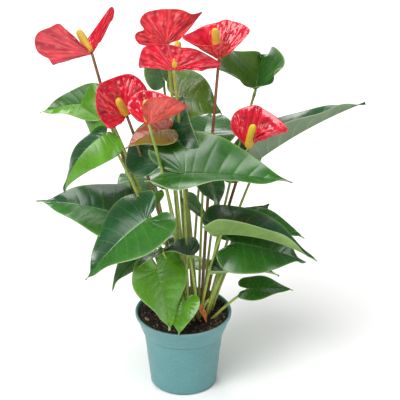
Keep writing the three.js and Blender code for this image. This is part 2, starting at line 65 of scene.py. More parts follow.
# Outline of the right half of a heart-shaped blade, tip first, in blade lengths: along, across, and the place
# on the midrib that a vein to this margin point leaves from.
LEAF_OUTLINE = [
    [1.0, 0.0, 1.0],
    [0.93, 0.05, 0.9],
    [0.84, 0.14, 0.77],
    [0.7, 0.36, 0.58],
    [0.52, 0.63, 0.38],
    [0.32, 0.87, 0.19],
    [0.1, 1.0, 0.05],
    [-0.08, 0.96, 0.0],
    [-0.2, 0.78, 0.0],
    [-0.26, 0.54, 0.0],
    [-0.23, 0.3, 0.0],
    [-0.14, 0.12, 0.0],
    [-0.05, 0.03, 0.0],
]

# Places of the side veins, counted in outline points from the tip.
LEAF_VEINS = (1.5, 2.2, 2.9, 3.6, 4.3, 5.0, 5.7, 6.5, 7.6, 8.9, 10.4)
LEAF_SHARES = (0, 0.012, 0.03, 0.07, 0.13, 0.2, 0.28, 0.37, 0.46, 0.56, 0.66, 0.76, 0.85, 0.92, 0.965, 1)

# Each leaf: root, joint of petiole and blade, tip, width; roll and droop of the blade, and fold and curl of
# both halves, in degrees; size of its basal lobes; tone of the whole leaf or of each half; colour underneath.
# The tones paint light and shade: a pair of tones gives one half a lit colour and the other a shaded one,
# save the young leaf's bronze and russet, and a whole leaf in shadow takes the dark tone, a lit one the bright.
LEAVES = [
    dict(name="leaf_left_top", root=(-6, 12), joint=(-100, 15, 286), tip=(-171, 5, 279), width=60, roll=22,
         tones=("bright", "mid")),
    dict(name="leaf_left_hanging", root=(-4, 5), joint=(-98, 2, 300), tip=(-104, -12, 245), width=50,
         roll=-10, droop=45, fold=(10, 10), tone="bright"),
    dict(name="leaf_left_arching", root=(-1, -7), joint=(-90, -35, 272), tip=(-140, -50, 200), width=60,
         roll=28, droop=85, fold=(-22, -22), lobes=0.4, tones=("bright", "dark")),
    dict(name="leaf_left_wide", root=(-3, -1), joint=(-78, -20, 153), tip=(-178, 0, 161), width=84, roll=22,
         droop=30, tones=("mid", "dark")),
    dict(name="leaf_front_large", root=(4, -13), joint=(-43, -58, 168), tip=(-116, -85, 100), width=98,
         roll=15, fold=(12, 12), tones=("mid", "dark")),
    dict(name="leaf_front_grey", root=(-1, -14), joint=(-43, -46, 115), tip=(-86, -70, 76), width=42,
         roll=10, droop=60, fold=(30, 30), tone="grey"),
    dict(name="leaf_front_bright", root=(8, -18), joint=(-33, -52, 95), tip=(-17, -72, 21), width=90,
         roll=10, droop=25, fold=(14, 14), tone="bright"),
    dict(name="leaf_front_small", root=(14, -15), joint=(2, -41, 43), tip=(-5, -60, 7), width=42, droop=50,
         fold=(20, 20), tone="bright"),
    dict(name="leaf_front_cupped", root=(19, -12), joint=(8, -33, 104), tip=(-26, -45, 118), width=46,
         roll=14, droop=20, fold=(34, 44), curl=(12, 12), tone="dark"),
    dict(name="leaf_centre_large", root=(6, -8), joint=(1, -55, 228), tip=(130, -65, 222), width=104,
         roll=-22, droop=16, fold=(34, 44), curl=(-12, -22), lobes=1.25),
    dict(name="leaf_centre_dark", root=(3, 3), joint=(-26, -32, 230), tip=(2, 12, 300), width=106, droop=20,
         fold=(8, 8), curl=(-25, -25), tone="dark"),
    dict(name="leaf_young_bronze", root=(6, -3), joint=(-17, -28, 274), tip=(-67, -39, 253), width=46,
         roll=10, droop=40, fold=(-5, 20), lobes=0.6, tones=("bronze", "russet")),
    dict(name="leaf_right_long", root=(28, 5), joint=(94, 14, 213), tip=(221, 54, 269), width=98, roll=22,
         droop=15, fold=(42, 42), curl=(-15, -15), tone="dark", under=(0.15, 0.24, 0.12)),
    dict(name="leaf_top_right", root=(26, 19), joint=(88, 45, 290), tip=(96, 106, 306), width=126, droop=34,
         fold=(46, 56), curl=(6, 6), lobes=0.15, tones=("olive", "mid")),
    dict(name="leaf_top_centre", root=(17, 21), joint=(-8, 30, 288), tip=(47, 25, 267), width=78, roll=-30,
         droop=60, fold=(20, 20), tone="olive"),
    dict(name="leaf_top_left", root=(0, 22), joint=(-24, 58, 300), tip=(-44, 82, 334), width=54, tone="grey"),
    dict(name="leaf_right_upper", root=(31, 12), joint=(78, 42, 96), tip=(107, 60, 126), width=56, roll=-40,
         lobes=0.6, tone="dark"),
    dict(name="leaf_right_middle", root=(33, 6), joint=(82, 25, 115), tip=(150, 20, 98), width=52, roll=-5,
         fold=(36, 20)),
    dict(name="leaf_right_pale", root=(20, -6), joint=(46, -42, 139), tip=(162, -50, 106), width=84,
         roll=18, droop=35, fold=(54, 40), curl=(-12, -12), lobes=0.7, tones=("dark", "mid")),
    dict(name="leaf_right_dark", root=(29, -1), joint=(66, -24, 116), tip=(150, -15, 84), width=84,
         roll=-32, droop=30, fold=(12, 8), tone="mid"),
    dict(name="leaf_right_gutter", root=(26, -7), joint=(48, -24, 74), tip=(118, -22, 70), width=50,
         roll=14, fold=(62, 36), lobes=0.8, tones=("dark", "mid")),
    dict(name="leaf_right_low", root=(31, -13), joint=(82, 0, 38), tip=(136, 0, 36), width=40, roll=-20,
         droop=25, fold=(12, 12)),
    dict(name="leaf_inner_hanging", root=(19, 12), joint=(25, 6, 196), tip=(44, -6, 152), width=56, droop=40),
    dict(name="leaf_inner_grey", root=(12, 15), joint=(6, 20, 152), tip=(29, 12, 124), width=34, tone="grey"),
    dict(name="leaf_inner_pale", root=(-8, 1), joint=(-34, 5, 169), tip=(-42, -8, 147), width=26,
         tone="bright"),
    dict(name="leaf_back_right", root=(25, 26), joint=(45, 75, 160), tip=(85, 150, 140), width=92,
         fold=(20, 20)),
    dict(name="leaf_back_left", root=(-6, 18), joint=(-35, 70, 145), tip=(-75, 145, 125), width=90),
    dict(name="leaf_back_low_right", root=(30, 19), joint=(65, 62, 75), tip=(120, 105, 45), width=70,
         droop=45),
    dict(name="leaf_back_low_left", root=(3, 26), joint=(-40, 55, 70), tip=(-85, 100, 35), width=76,
         droop=50, tone="dark"),
    dict(name="leaf_back_high", root=(9, 24), joint=(25, 70, 215), tip=(35, 150, 200), width=84, droop=40),
    dict(name="leaf_back_tip", root=(17, 28), joint=(12, 62, 35), tip=(14, 110, 15), width=46, droop=50,
         tone="bright"),
]
USUAL_WIDTH = 90
USUAL_DROOP = 30
USUAL_FOLD = (15, 15)
USUAL_CURL = (-20, -20)

# Papery sheaths at the foot of the stems, given as blades with no petiole.
SHEATHS = [
    dict(name="sheath_orange", joint=(21, -16, 18), tip=(29, -24, 1), width=10, slot="dry_sheath",
         tint=(0.72, 0.16, 0.03), fold=(40, 40)),
    dict(name="sheath_green", joint=(23, -14, 12), tip=(36, -8, 32), width=12, slot="green_sheath",
         tint=(0.42, 0.52, 0.16), fold=(35, 35)),
    dict(name="sheath_red", joint=(1, -21, 20), tip=(0, -25, 8), width=7, slot="spathe",
         tint=(0.6, 0.03, 0.03), fold=(30, 30)),
]

# Each flower: root; joint of stem, spathe and spadix; reach of the spadix; wrinkle, the strength of the
# spathe's quilting, and bands, that of its cross bands; lean of the stem; colours of the stem's foot and top,
# and, where they aren't the usual ones, of the spathe's back and the spadix's foot and tip; and the margin of
# the spathe from one side of its notch to the other, measured from the joint. A fourth number arches the vein
# that leads to a margin point.
FLOWERS = [
    dict(name="flower_left", root=(-8, 7), joint=(-107, 12, 353), spadix=(-17, 14, 25), wrinkle=0.9,
         lean=-0.12, stem=((0.17, 0.12, 0.03), (0.22, 0.11, 0.02)), back=(0.62, 0.05, 0.07),
         margin=[(9.3, 3, 15), (16.2, 6.5, 27), (22.3, 9.6, 38.5), (27, 12, 48), (25, 12, 55), (20, 11, 53),
                 (8, 10, 36), (-3, 8, 20), (-15, 2, 4), (-30, -12, 1), (-42, -27, 1), (-46, -34, 3),
                 (-50, -32, 8), (-57, -28, 10), (-64, -26, 17), (-66, -24, 30), (-61, -20, 38),
                 (-49, -14, 41), (-38, -8, 43), (-29, -6.5, 33.5), (-18, -5.5, 21.5), (-7, -3.5, 9.5)]),
    dict(name="flower_left_low", root=(0, -2), joint=(-66, -20, 287), spadix=(-10, -12, 28), wrinkle=1.3,
         stem=((0.2, 0.2, 0.05), (0.2, 0.09, 0.03)), spadix_foot=(0.85, 0.33, 0.02),
         spadix_tip=(0.9, 0.48, 0.02),
         margin=[(13, 6, 5), (24, 12, 14), (25, 18, 24, 4), (19, 22, 34, 8), (11, 24, 41, 8),
                 (1, 22, 45, 6), (-14, 10, 46, 4), (-30, -10, 47), (-34, -16, 39), (-35, -20, 27),
                 (-32, -24, 13), (-26, -26, 5), (-20, -26, -3), (-11, -18, -4), (-6, -8, -4)]),
    dict(name="flower_centre", root=(10, -5), joint=(-39, -66, 299), spadix=(-3, 8, 28), wrinkle=0.9,
         stem=((0.24, 0.34, 0.06), (0.3, 0.42, 0.08)), back=(0.74, 0.085, 0.06),
         margin=[(-7, -14, 20), (-7, -22, 35), (1, -24, 46), (11, -22, 47, -2), (24, -18, 44, -3),
                 (37, -12, 36, -3), (46, 0, 24, -3), (31, 16, 25), (16, 24, 28), (4, 26, 31), (-8, 24, 32),
                 (-19, 18, 28), (-24, 12, 22), (-24, 6, 16), (-16, 2, 7), (-7, 0, 3)]),
    dict(name="flower_top_back", root=(7, 18), joint=(-19, 12, 366), spadix=(6, 22, 8), wrinkle=1.3,
         stem=((0.24, 0.3, 0.05), (0.38, 0.4, 0.05)), back=(0.66, 0.018, 0.035),
         margin=[(-12, -8, 0), (-23, -16, 5), (-32, -20, 9), (-37, -18, 16), (-35, -12, 20), (-27, -4, 20),
                 (-31, 0, 26), (-30, 4, 32), (-24, 8, 37), (-11, 12, 39), (4, 14, 39), (18, 16, 37),
                 (30, 18, 31), (42, 28, 29), (33, 18, 19), (23, 10, 10), (15, 4, 3)]),
    dict(name="flower_top_front", root=(13, 6), joint=(-10, -18, 346), spadix=(5, 23, 27), wrinkle=2.2,
         stem=((0.24, 0.3, 0.05), (0.34, 0.33, 0.05)), back=(0.6, 0.006, 0.03),
         margin=[(-9, 0, 2), (-22, 0, 4), (-34, 0, 5), (-41, -2, 6), (-40, 2, 17), (-35, 8, 26),
                 (-22, 10, 29), (-7, 10, 29), (8, 8, 26), (24, 6, 25), (40, 6, 17), (55, 4, 6), (45, 2, 1),
                 (28, 0, 3), (14, 0, 5), (6, 0, 3)]),
    dict(name="flower_top_right", root=(22, 1), joint=(43, 0, 351), spadix=(-5, 2, 40), wrinkle=1.5,
         stem=((0.17, 0.1, 0.03), (0.26, 0.07, 0.025)), back=(0.66, 0.01, 0.015),
         margin=[(12, -2, 10), (20, 2, 17), (28, 8, 23), (36, 16, 31), (29, 24, 35), (16, 30, 37),
                 (7, 32, 38), (-3, 30, 35), (-18, 22, 34), (-31, 8, 33), (-42, -10, 35), (-34, -22, 34),
                 (-21, -28, 33), (-8, -28, 33), (3, -22, 33), (13, -14, 28), (12, -6, 17)]),
    dict(name="flower_right", root=(25, 12), joint=(78, -14, 240), spadix=(6, -10, 37), wrinkle=1.0,
         bands=2.4, stem=((0.2, 0.14, 0.04), (0.24, 0.08, 0.03)), back=(0.66, 0.03, 0.03),
         spadix_tip=(0.85, 0.72, 0.03),
         margin=[(10, -12, 17, 10), (16, -18, 20, 16), (24, -22, 25, 18), (35, -20, 29, 16),
                 (47, -12, 31, 10), (43, -2, 34, 5), (32, 6, 41, 2), (19, 14, 46), (10, 17, 50),
                 (0, 18, 48), (-10, 16, 45), (-17, 10, 41), (-20, 4, 34), (-18, -2, 26), (-10, -4, 17),
                 (-4, -2, 9)]),
]

PLANTING_DEPTH = 5
STEM_LEAN = 0.12
STEM_LIFT = 0.05
CROWN_AT = (13, 5)

# ---------- settings ----------


def length_of(name, description, millimetres):
    """A setting that holds a length."""
    return FloatProperty(name=name, description=description, default=millimetres * MM, unit="LENGTH",
                         subtype="DISTANCE")


def colour_of(name, description, *default):
    """A setting that holds a colour."""
    return FloatVectorProperty(name=name, description=description, default=default, subtype="COLOR")


def power_of(name, description, watts):
    """A setting that holds the power of a light."""
    return FloatProperty(name=name, description=description, default=watts, subtype="POWER")


def count_of(name, description, default):
    """A setting that holds a number of things."""
    return IntProperty(name=name, description=description, default=default, min=0)


class AnthuriumPotSettings(bpy.types.PropertyGroup):
    """Sizes and colour of the nursery pot"""

    collar_height: length_of("Collar height", "Height of the wide band below the rim", 26)
    wall: length_of("Wall", "Thickness of the pot's wall", 1.5)
    base_diameter: length_of("Base diameter", "Width of the pot at its foot", 82)
    notches: count_of("Drain notches", "Arched notches in the foot", 6)
    colour: colour_of("Colour", "Colour of the plastic", 0.085, 0.28, 0.29)


class AnthuriumSoilSettings(bpy.types.PropertyGroup):
    """The potting soil"""

    dome: length_of("Dome", "Rise of the soil toward the middle", 2)
    chips: count_of("Chips", "Number of pieces of bark and peat", 1500)
    fibres: count_of("Fibres", "Number of loose fibres", 70)
    colour: colour_of("Colour", "Colour of the peat", 0.022, 0.012, 0.009)


class AnthuriumLeafSettings(bpy.types.PropertyGroup):
    """Sizes and colours of the leaves"""

    petiole_diameter: length_of("Petiole diameter", "Thickness of a leaf's stem", 3.4)
    thickness: length_of("Thickness", "Thickness of a blade", 0.6)
    vein_depth: length_of("Vein depth", "How far the veins are pressed into the blade", 0.2)
    puff: length_of("Puff", "How far the blade swells between its veins", 0.22)
    wave: length_of("Wave", "How far the margin waves", 2.6)
    mid: colour_of("Green", "Colour of most leaves", 0.023, 0.122, 0.011)
    # Painted shade: dark green is the colour given to leaves and halves that lie in shadow.
    dark: colour_of("Dark green", "Colour of the oldest leaves", 0.009, 0.062, 0.016)
    # Painted light: bright green is the colour given to leaves and halves in full light.
    bright: colour_of("Bright green", "Colour of sunlit leaves", 0.088, 0.27, 0.008)
    grey: colour_of("Grey green", "Colour of the dull leaves", 0.065, 0.16, 0.055)
    olive: colour_of("Olive", "Colour of the olive leaves", 0.070, 0.15, 0.012)
    bronze: colour_of("Bronze", "Colour of the young leaf", 0.20, 0.13, 0.012)
    russet: colour_of("Russet", "Colour of the young leaf's redder half", 0.30, 0.035, 0.010)
    under: colour_of("Underside", "Colour of the undersides", 0.20, 0.34, 0.075)
    petiole: colour_of("Petiole", "Colour of the petioles", 0.30, 0.42, 0.06)
    petiole_foot: colour_of("Petiole foot", "Colour low on the petioles", 0.40, 0.46, 0.10)


class AnthuriumFlowerSettings(bpy.types.PropertyGroup):
    """Sizes and colours of the flowers"""

    stem_diameter: length_of("Stem diameter", "Thickness of a flower's stem", 4)
    thickness: length_of("Thickness", "Thickness of a spathe", 0.7)
    relief: length_of("Relief", "Height of the quilting between the veins", 0.95)
    spadix_diameter: length_of("Spadix diameter", "Thickness of a spadix", 10.5)
    front: colour_of("Front", "Colour of a spathe's face", 0.60, 0.002, 0.022)
    back: colour_of("Back", "Usual colour of a spathe's back", 0.64, 0.02, 0.04)
    spadix_foot: colour_of("Spadix foot", "Usual colour of the older florets", 0.85, 0.42, 0.03)
    spadix_tip: colour_of("Spadix tip", "Usual colour of the young florets", 0.80, 0.66, 0.08)


class AnthuriumStageSettings(bpy.types.PropertyGroup):
    """Floor, lights and camera"""

    distance: length_of("Distance", "Camera's distance from the plant", 3000)
    elevation: FloatProperty(name="Elevation", description="Camera's angle above the horizon",
                             default=math.radians(28.4), unit="ROTATION", subtype="ANGLE")
    lens: FloatProperty(name="Lens", description="Focal length of the camera", default=222, unit="CAMERA")
    sky: FloatProperty(name="Sky", description="Strength of the even light from all round", default=0.24)
    sun: FloatProperty(name="Sun", description="Strength of the broad light from the upper left", default=2.7)
    key: power_of("Key light", "Power of the softbox at the left", 14)
    fill: power_of("Fill light", "Power of the softbox at the right", 6)
    back: power_of("Back light", "Power of the softbox behind the plant", 14)


# ---------- curves and surfaces ----------


def smooth_through(points, places):
    """A Catmull-Rom curve through points, at places counted in points from the first."""
    points = np.asarray(points, float)
    places = np.asarray(places, float)
    padded = np.vstack([2 * points[0] - points[1], points, 2 * points[-1] - points[-2]])
    step = np.clip(np.floor(places).astype(int), 0, len(points) - 2)
    share = (places - step)[:, None]
    a, b, c, d = (padded[step + offset] for offset in range(4))
    bend = 2 * a - 5 * b + 4 * c - d + share * (3 * (b - c) + d - a)
    return b + 0.5 * share * (c - a + share * bend)


def unit(vector):
    """The vector at length one."""
    return vector / np.linalg.norm(vector)


def square_to(direction, hint):
    """Two directions, square to a direction and to each other."""
    side = unit(np.cross(direction, hint))
    return side, np.cross(direction, side)


def around(reach, angles, side, other):
    """Offsets of points that lie at a reach and an angle round an axis square to both directions."""
    return (reach * np.cos(angles))[..., None] * side + (reach * np.sin(angles))[..., None] * other


def turned(sides):
    """Angles that share a full turn evenly."""
    return 2 * math.pi * np.arange(sides) / sides


def table_point(values):
    """A place from the tables, in metres, in the frame of the pot."""
    return np.array(values, float) * MM + (0, 0, SOIL_Z)


def rough(points, frequency, seed):
    """Smooth noise from -1 to 1 at each of an array of points."""
    shift = Vector((seed * 3.17, seed * 1.31, seed * 2.71))
    flat = points.reshape(-1, 3)
    values = [noise.noise(Vector(point) * frequency + shift) for point in flat]
    return np.array(values).reshape(points.shape[:-1])


def coincident(grid):
    """A group number for each point of a grid; points that lie in one place share it."""
    keys = np.round(grid.reshape(-1, 3) / WELD).astype(np.int64)
    return np.unique(keys, axis=0, return_inverse=True)[1].reshape(-1)


def shared(values, groups):
    """Values with one mean for the points of each group."""
    flat = values.reshape(len(groups), -1)
    sums = np.zeros((groups.max() + 1, flat.shape[1]))
    np.add.at(sums, groups, flat)
    means = sums / np.bincount(groups)[:, None]
    return means[groups].reshape(values.shape)


def grid_normals(grid, groups):
    """Normals of a grid of points, whole also where its rows or columns meet in one point."""
    normals = np.cross(np.gradient(grid, axis=0), np.gradient(grid, axis=1))
    lengths = np.linalg.norm(normals, axis=2, keepdims=True)
    normals = normals / np.maximum(lengths, TINY)
    padded = np.pad(normals, ((1, 1), (1, 1), (0, 0)), mode="edge")
    around = padded[:-2, 1:-1] + padded[2:, 1:-1] + padded[1:-1, :-2] + padded[1:-1, 2:]
    normals = np.where(lengths < TINY, around, normals)
    normals = shared(normals, groups)
    return normals / np.maximum(np.linalg.norm(normals, axis=2, keepdims=True), TINY)


class Form:
    """One piece while it is being made: points, faces, finishes, and values for its materials."""

    def __init__(self):
        self.points = []
        self.tints = []
        self.values = {"vein": [], "edge": []}
        self.faces = []
        self.finishes = []
        self.count = 0

    def add_points(self, grid, tint, **values):
        """Adds a grid of points and returns their numbers."""
        rows, columns = grid.shape[:2]
        self.points.append(grid.reshape(-1, 3))
        self.tints.append(np.broadcast_to(np.asarray(tint, float), grid.shape).reshape(-1, 3))
        for key, stored in self.values.items():
            value = np.broadcast_to(values.get(key, 0.0), (rows, columns))
            stored.append(np.asarray(value, float).reshape(-1))
        numbers = self.count + np.arange(rows * columns).reshape(rows, columns)
        self.count += rows * columns
        return numbers

    def add_faces(self, numbers, finish, wrapped=False):
        """Covers a grid of point numbers with faces; a wrapped grid closes on its first column."""
        if wrapped:
            numbers = np.hstack([numbers, numbers[:, :1]])
        corners = [numbers[:-1, :-1], numbers[1:, :-1], numbers[1:, 1:], numbers[:-1, 1:]]
        faces = np.stack(corners, axis=-1).reshape(-1, 4)
        self.faces.extend(faces.tolist())
        self.finishes.extend([finish] * len(faces))

    def add_sheet(self, grid, front, back, tints, finishes, **values):
        """Adds a closed sheet: the grid moved along its normals by front, and by back the other way."""
        groups = coincident(grid)
        normals = grid_normals(grid, groups)
        front = shared(np.broadcast_to(front, grid.shape[:2]), groups)[..., None]
        back = shared(np.broadcast_to(back, grid.shape[:2]), groups)[..., None]
        near = self.add_points(grid + normals * front, tints[0], **values)
        far = self.add_points(grid - normals * back, tints[1], **values)
        self.add_faces(near, finishes[0])
        self.add_faces(far[:, ::-1], finishes[1])
        border = [(n[0, :-1], n[:-1, -1], n[-1, :0:-1], n[:0:-1, 0]) for n in (near, far)]
        loops = np.stack([np.concatenate(sides) for sides in border])
        self.add_faces(loops, finishes[2], wrapped=True)

    def add_wrapped(self, grid, tint, finish=0, **values):
        """Adds a grid of points that closes on its first column, with its faces."""
        self.add_faces(self.add_points(grid, tint, **values), finish, wrapped=True)

    def add_tube(self, path, radii, sides, tint, finish):
        """Adds a closed round tube along a path, with a radius for each of its points."""
        path = np.asarray(path, float)
        tangents = np.gradient(path, axis=0)
        tangents /= np.linalg.norm(tangents, axis=1, keepdims=True)
        side = unit(np.cross(tangents[0], (0.31, 0.95, 0.05)))
        angles = turned(sides)
        rings = []
        for point, tangent, radius in zip(path, tangents, radii):
            side = unit(side - tangent * side.dot(tangent))
            rings.append(point + around(radius, angles, side, np.cross(tangent, side)))
        first, last = (np.repeat(end, sides, axis=0) for end in (path[:1], path[-1:]))
        grid = np.stack([first, *rings, last])
        tint = np.asarray(tint, float)
        if tint.ndim > 1:
            tint = np.concatenate([tint[:1], tint, tint[-1:]])
        self.add_wrapped(grid, tint, finish)

    def finish(self, name, node, slot, materials):
        """Makes the piece, welds the points that lie together, attaches it to the root, and hides the imported
        part of its node; the slot is not used.
        """
        mesh = bpy.data.meshes.new(name)
        mesh.from_pydata(np.concatenate(self.points).tolist(), [], self.faces)
        mesh.polygons.foreach_set("material_index", self.finishes)
        for key, stored in self.values.items():
            layer = mesh.attributes.new(key, "FLOAT", "POINT")
            layer.data.foreach_set("value", np.concatenate(stored).astype(np.float32))
        tints = np.concatenate(self.tints)
        colours = np.hstack([tints, np.ones((len(tints), 1))]).astype(np.float32)
        layer = mesh.attributes.new("tint", "FLOAT_COLOR", "POINT")
        layer.data.foreach_set("color", colours.ravel())
        for material in materials:
            mesh.materials.append(material)
        shell = bmesh.new()
        shell.from_mesh(mesh)
        bmesh.ops.remove_doubles(shell, verts=shell.verts, dist=WELD)
        bmesh.ops.recalc_face_normals(shell, faces=shell.faces)
        for face in shell.faces:
            face.smooth = True
        shell.to_mesh(mesh)
        shell.free()
        piece = bpy.data.objects.new(name, mesh)
        bpy.context.scene.collection.objects.link(piece)
        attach(piece, "root")
        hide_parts(node)
        return piece


# ---------- materials ----------


def new_group(name, inputs, outputs):
    """A shader node group with its sockets; each input is (name, kind, default)."""
    group = bpy.data.node_groups.new(name, "ShaderNodeTree")
    for label, kind, default in inputs:
        socket = group.interface.new_socket(name=label, in_out="INPUT", socket_type=kind)
        socket.default_value = default
    for label, kind in outputs:
        group.interface.new_socket(name=label, in_out="OUTPUT", socket_type=kind)
    return group, group.nodes.new("NodeGroupInput"), group.nodes.new("NodeGroupOutput")


def put(tree, socket, value):
    """Links a socket to another, or sets its value."""
    if isinstance(value, bpy.types.NodeSocket):
        tree.links.new(value, socket)
    else:
        socket.default_value = value


def add_node(tree, kind, **sockets):
    """A node with values set on its named sockets, or links made to them."""
    node = tree.nodes.new(kind)
    for label, value in sockets.items():
        put(tree, node.inputs[label.replace("_", " ")], value)
    return node


def add_group(tree, group, **sockets):
    """The one output of a group node with values set on its named sockets, or links made to them."""
    node = tree.nodes.new("ShaderNodeGroup")
    node.node_tree = group
    for label, value in sockets.items():
        put(tree, node.inputs[label.replace("_", " ")], value)
    return node.outputs[0]


def add_maths(tree, operation, first, second):
    """The result of a Math node."""
    node = tree.nodes.new("ShaderNodeMath")
    node.operation = operation
    for socket, value in zip(node.inputs, (first, second)):
        put(tree, socket, value)
    return node.outputs[0]


def add_mix(tree, factor, first, second, blend="MIX"):
    """The result of a Mix node for colours."""
    node = tree.nodes.new("ShaderNodeMix")
    node.data_type = "RGBA"
    node.blend_type = blend
    for socket, value in zip((node.inputs[0], node.inputs[6], node.inputs[7]), (factor, first, second)):
        put(tree, socket, value)
    return node.outputs[2]


def add_shade(tree, colour, gain):
    """A colour made lighter or darker by a gain."""
    shade = add_node(tree, "ShaderNodeCombineColor", Red=gain, Green=gain, Blue=gain)
    return add_mix(tree, 1.0, colour, shade.outputs[0], "MULTIPLY")


def add_attribute(tree, name, output="Fac"):
    """The output of an Attribute node."""
    node = tree.nodes.new("ShaderNodeAttribute")
    node.attribute_name = name
    return node.outputs[output]


def add_place(tree):
    """The place of a point of the surface, in metres."""
    return tree.nodes.new("ShaderNodeTexCoord").outputs["Object"]


def opaque(colour):
    """A colour with full alpha."""
    return (*colour, 1)


def mottle_group():
    """Noise that shifts a value between two limits, for blotches in colour and gloss."""
    group, source, result = new_group(
        "Mottle",
        [("Scale", "NodeSocketFloat", 60), ("Low", "NodeSocketFloat", 0), ("High", "NodeSocketFloat", 1)],
        [("Value", "NodeSocketFloat")])
    texture = add_node(group, "ShaderNodeTexNoise", Vector=add_place(group), Scale=source.outputs["Scale"],
                       Detail=5.0, Roughness=0.6)
    spread = add_node(group, "ShaderNodeMapRange", Value=texture.outputs["Fac"], From_Min=0.3, From_Max=0.7,
                      To_Min=source.outputs["Low"], To_Max=source.outputs["High"])
    group.links.new(spread.outputs["Result"], result.inputs["Value"])
    return group


GRAIN_FINENESS = 9
GRAIN_SHARE = 0.35
MIDDLE_OF_SPOTS = 0.67


def tissue_group(mottle):
    """Colour of living tissue: its tint, mottled, with veins and a margin of their own colours."""
    group, source, result = new_group(
        "Living Tissue",
        [("Vein Colour", "NodeSocketColor", (0.3, 0.5, 0.2, 1)), ("Vein Strength", "NodeSocketFloat", 0.5),
         ("Edge Colour", "NodeSocketColor", (0.5, 0.6, 0.3, 1)), ("Edge Strength", "NodeSocketFloat", 0.7),
         ("Blotch Scale", "NodeSocketFloat", 55), ("Blotch Strength", "NodeSocketFloat", 0.3)],
        [("Colour", "NodeSocketColor")])
    scale = source.outputs["Blotch Scale"]
    blotch = add_group(group, mottle, Scale=scale)
    grain = add_group(group, mottle, Scale=add_maths(group, "MULTIPLY", scale, GRAIN_FINENESS))
    spots = add_maths(group, "ADD", blotch, add_maths(group, "MULTIPLY", grain, GRAIN_SHARE))
    spots = add_maths(group, "SUBTRACT", spots, MIDDLE_OF_SPOTS)
    change = add_maths(group, "MULTIPLY", spots, source.outputs["Blotch Strength"])
    colour = add_shade(group, add_attribute(group, "tint", "Color"), add_maths(group, "ADD", change, 1))
    for part in ("Vein", "Edge"):
        strength = source.outputs[part + " Strength"]
        mask = add_maths(group, "MULTIPLY", add_attribute(group, part.lower()), strength)
        colour = add_mix(group, mask, colour, source.outputs[part + " Colour"])
    group.links.new(colour, result.inputs["Colour"])
    return group


def skin_group():
    """Height of a fine skin: cells with thin lines between them, over soft unevenness."""
    group, source, result = new_group(
        "Skin Relief",
        [("Cell Scale", "NodeSocketFloat", 500), ("Cells", "NodeSocketFloat", 0.5),
         ("Grain Scale", "NodeSocketFloat", 1500), ("Grain", "NodeSocketFloat", 0.3)],
        [("Height", "NodeSocketFloat")])
    place = add_place(group)
    cells = add_node(group, "ShaderNodeTexVoronoi", Vector=place, Scale=source.outputs["Cell Scale"])
    cells.feature = "DISTANCE_TO_EDGE"
    rounded_cells = add_maths(group, "MINIMUM", cells.outputs["Distance"], 0.18)
    grain = add_node(group, "ShaderNodeTexNoise", Vector=place, Scale=source.outputs["Grain Scale"],
                     Detail=3.0)
    parts = (add_maths(group, "MULTIPLY", rounded_cells, source.outputs["Cells"]),
             add_maths(group, "MULTIPLY", grain.outputs["Fac"], source.outputs["Grain"]))
    group.links.new(add_maths(group, "ADD", *parts), result.inputs["Height"])
    return group


# Each skin: strength and depth of its relief, scale and strength of its cells, the same of its grain.
SOFT_SKIN = (0.25, 0.4 * MM, 420, 0.8, 1800, 0.25)
WAXY_SKIN = (0.35, 0.5 * MM, 260, 0.9, 1500, 0.2)
FINE_SKIN = (0.3, 0.3 * MM, 900, 0.4, 2500, 0.5)
FLORET_SKIN = (0.3, 0.3 * MM, 1600, 0.5, 4000, 0.5)
PAPERY_SKIN = (0.6, 0.6 * MM, 700, 0.6, 2200, 0.7)
PLASTIC_SKIN = (0.2, 0.3 * MM, 1400, 0.3, 2600, 0.6)
CRUMBLY_SKIN = (0.9, 1.5 * MM, 520, 2, 1100, 1.2)
DUST = (0.55, 0.6, 0.58)


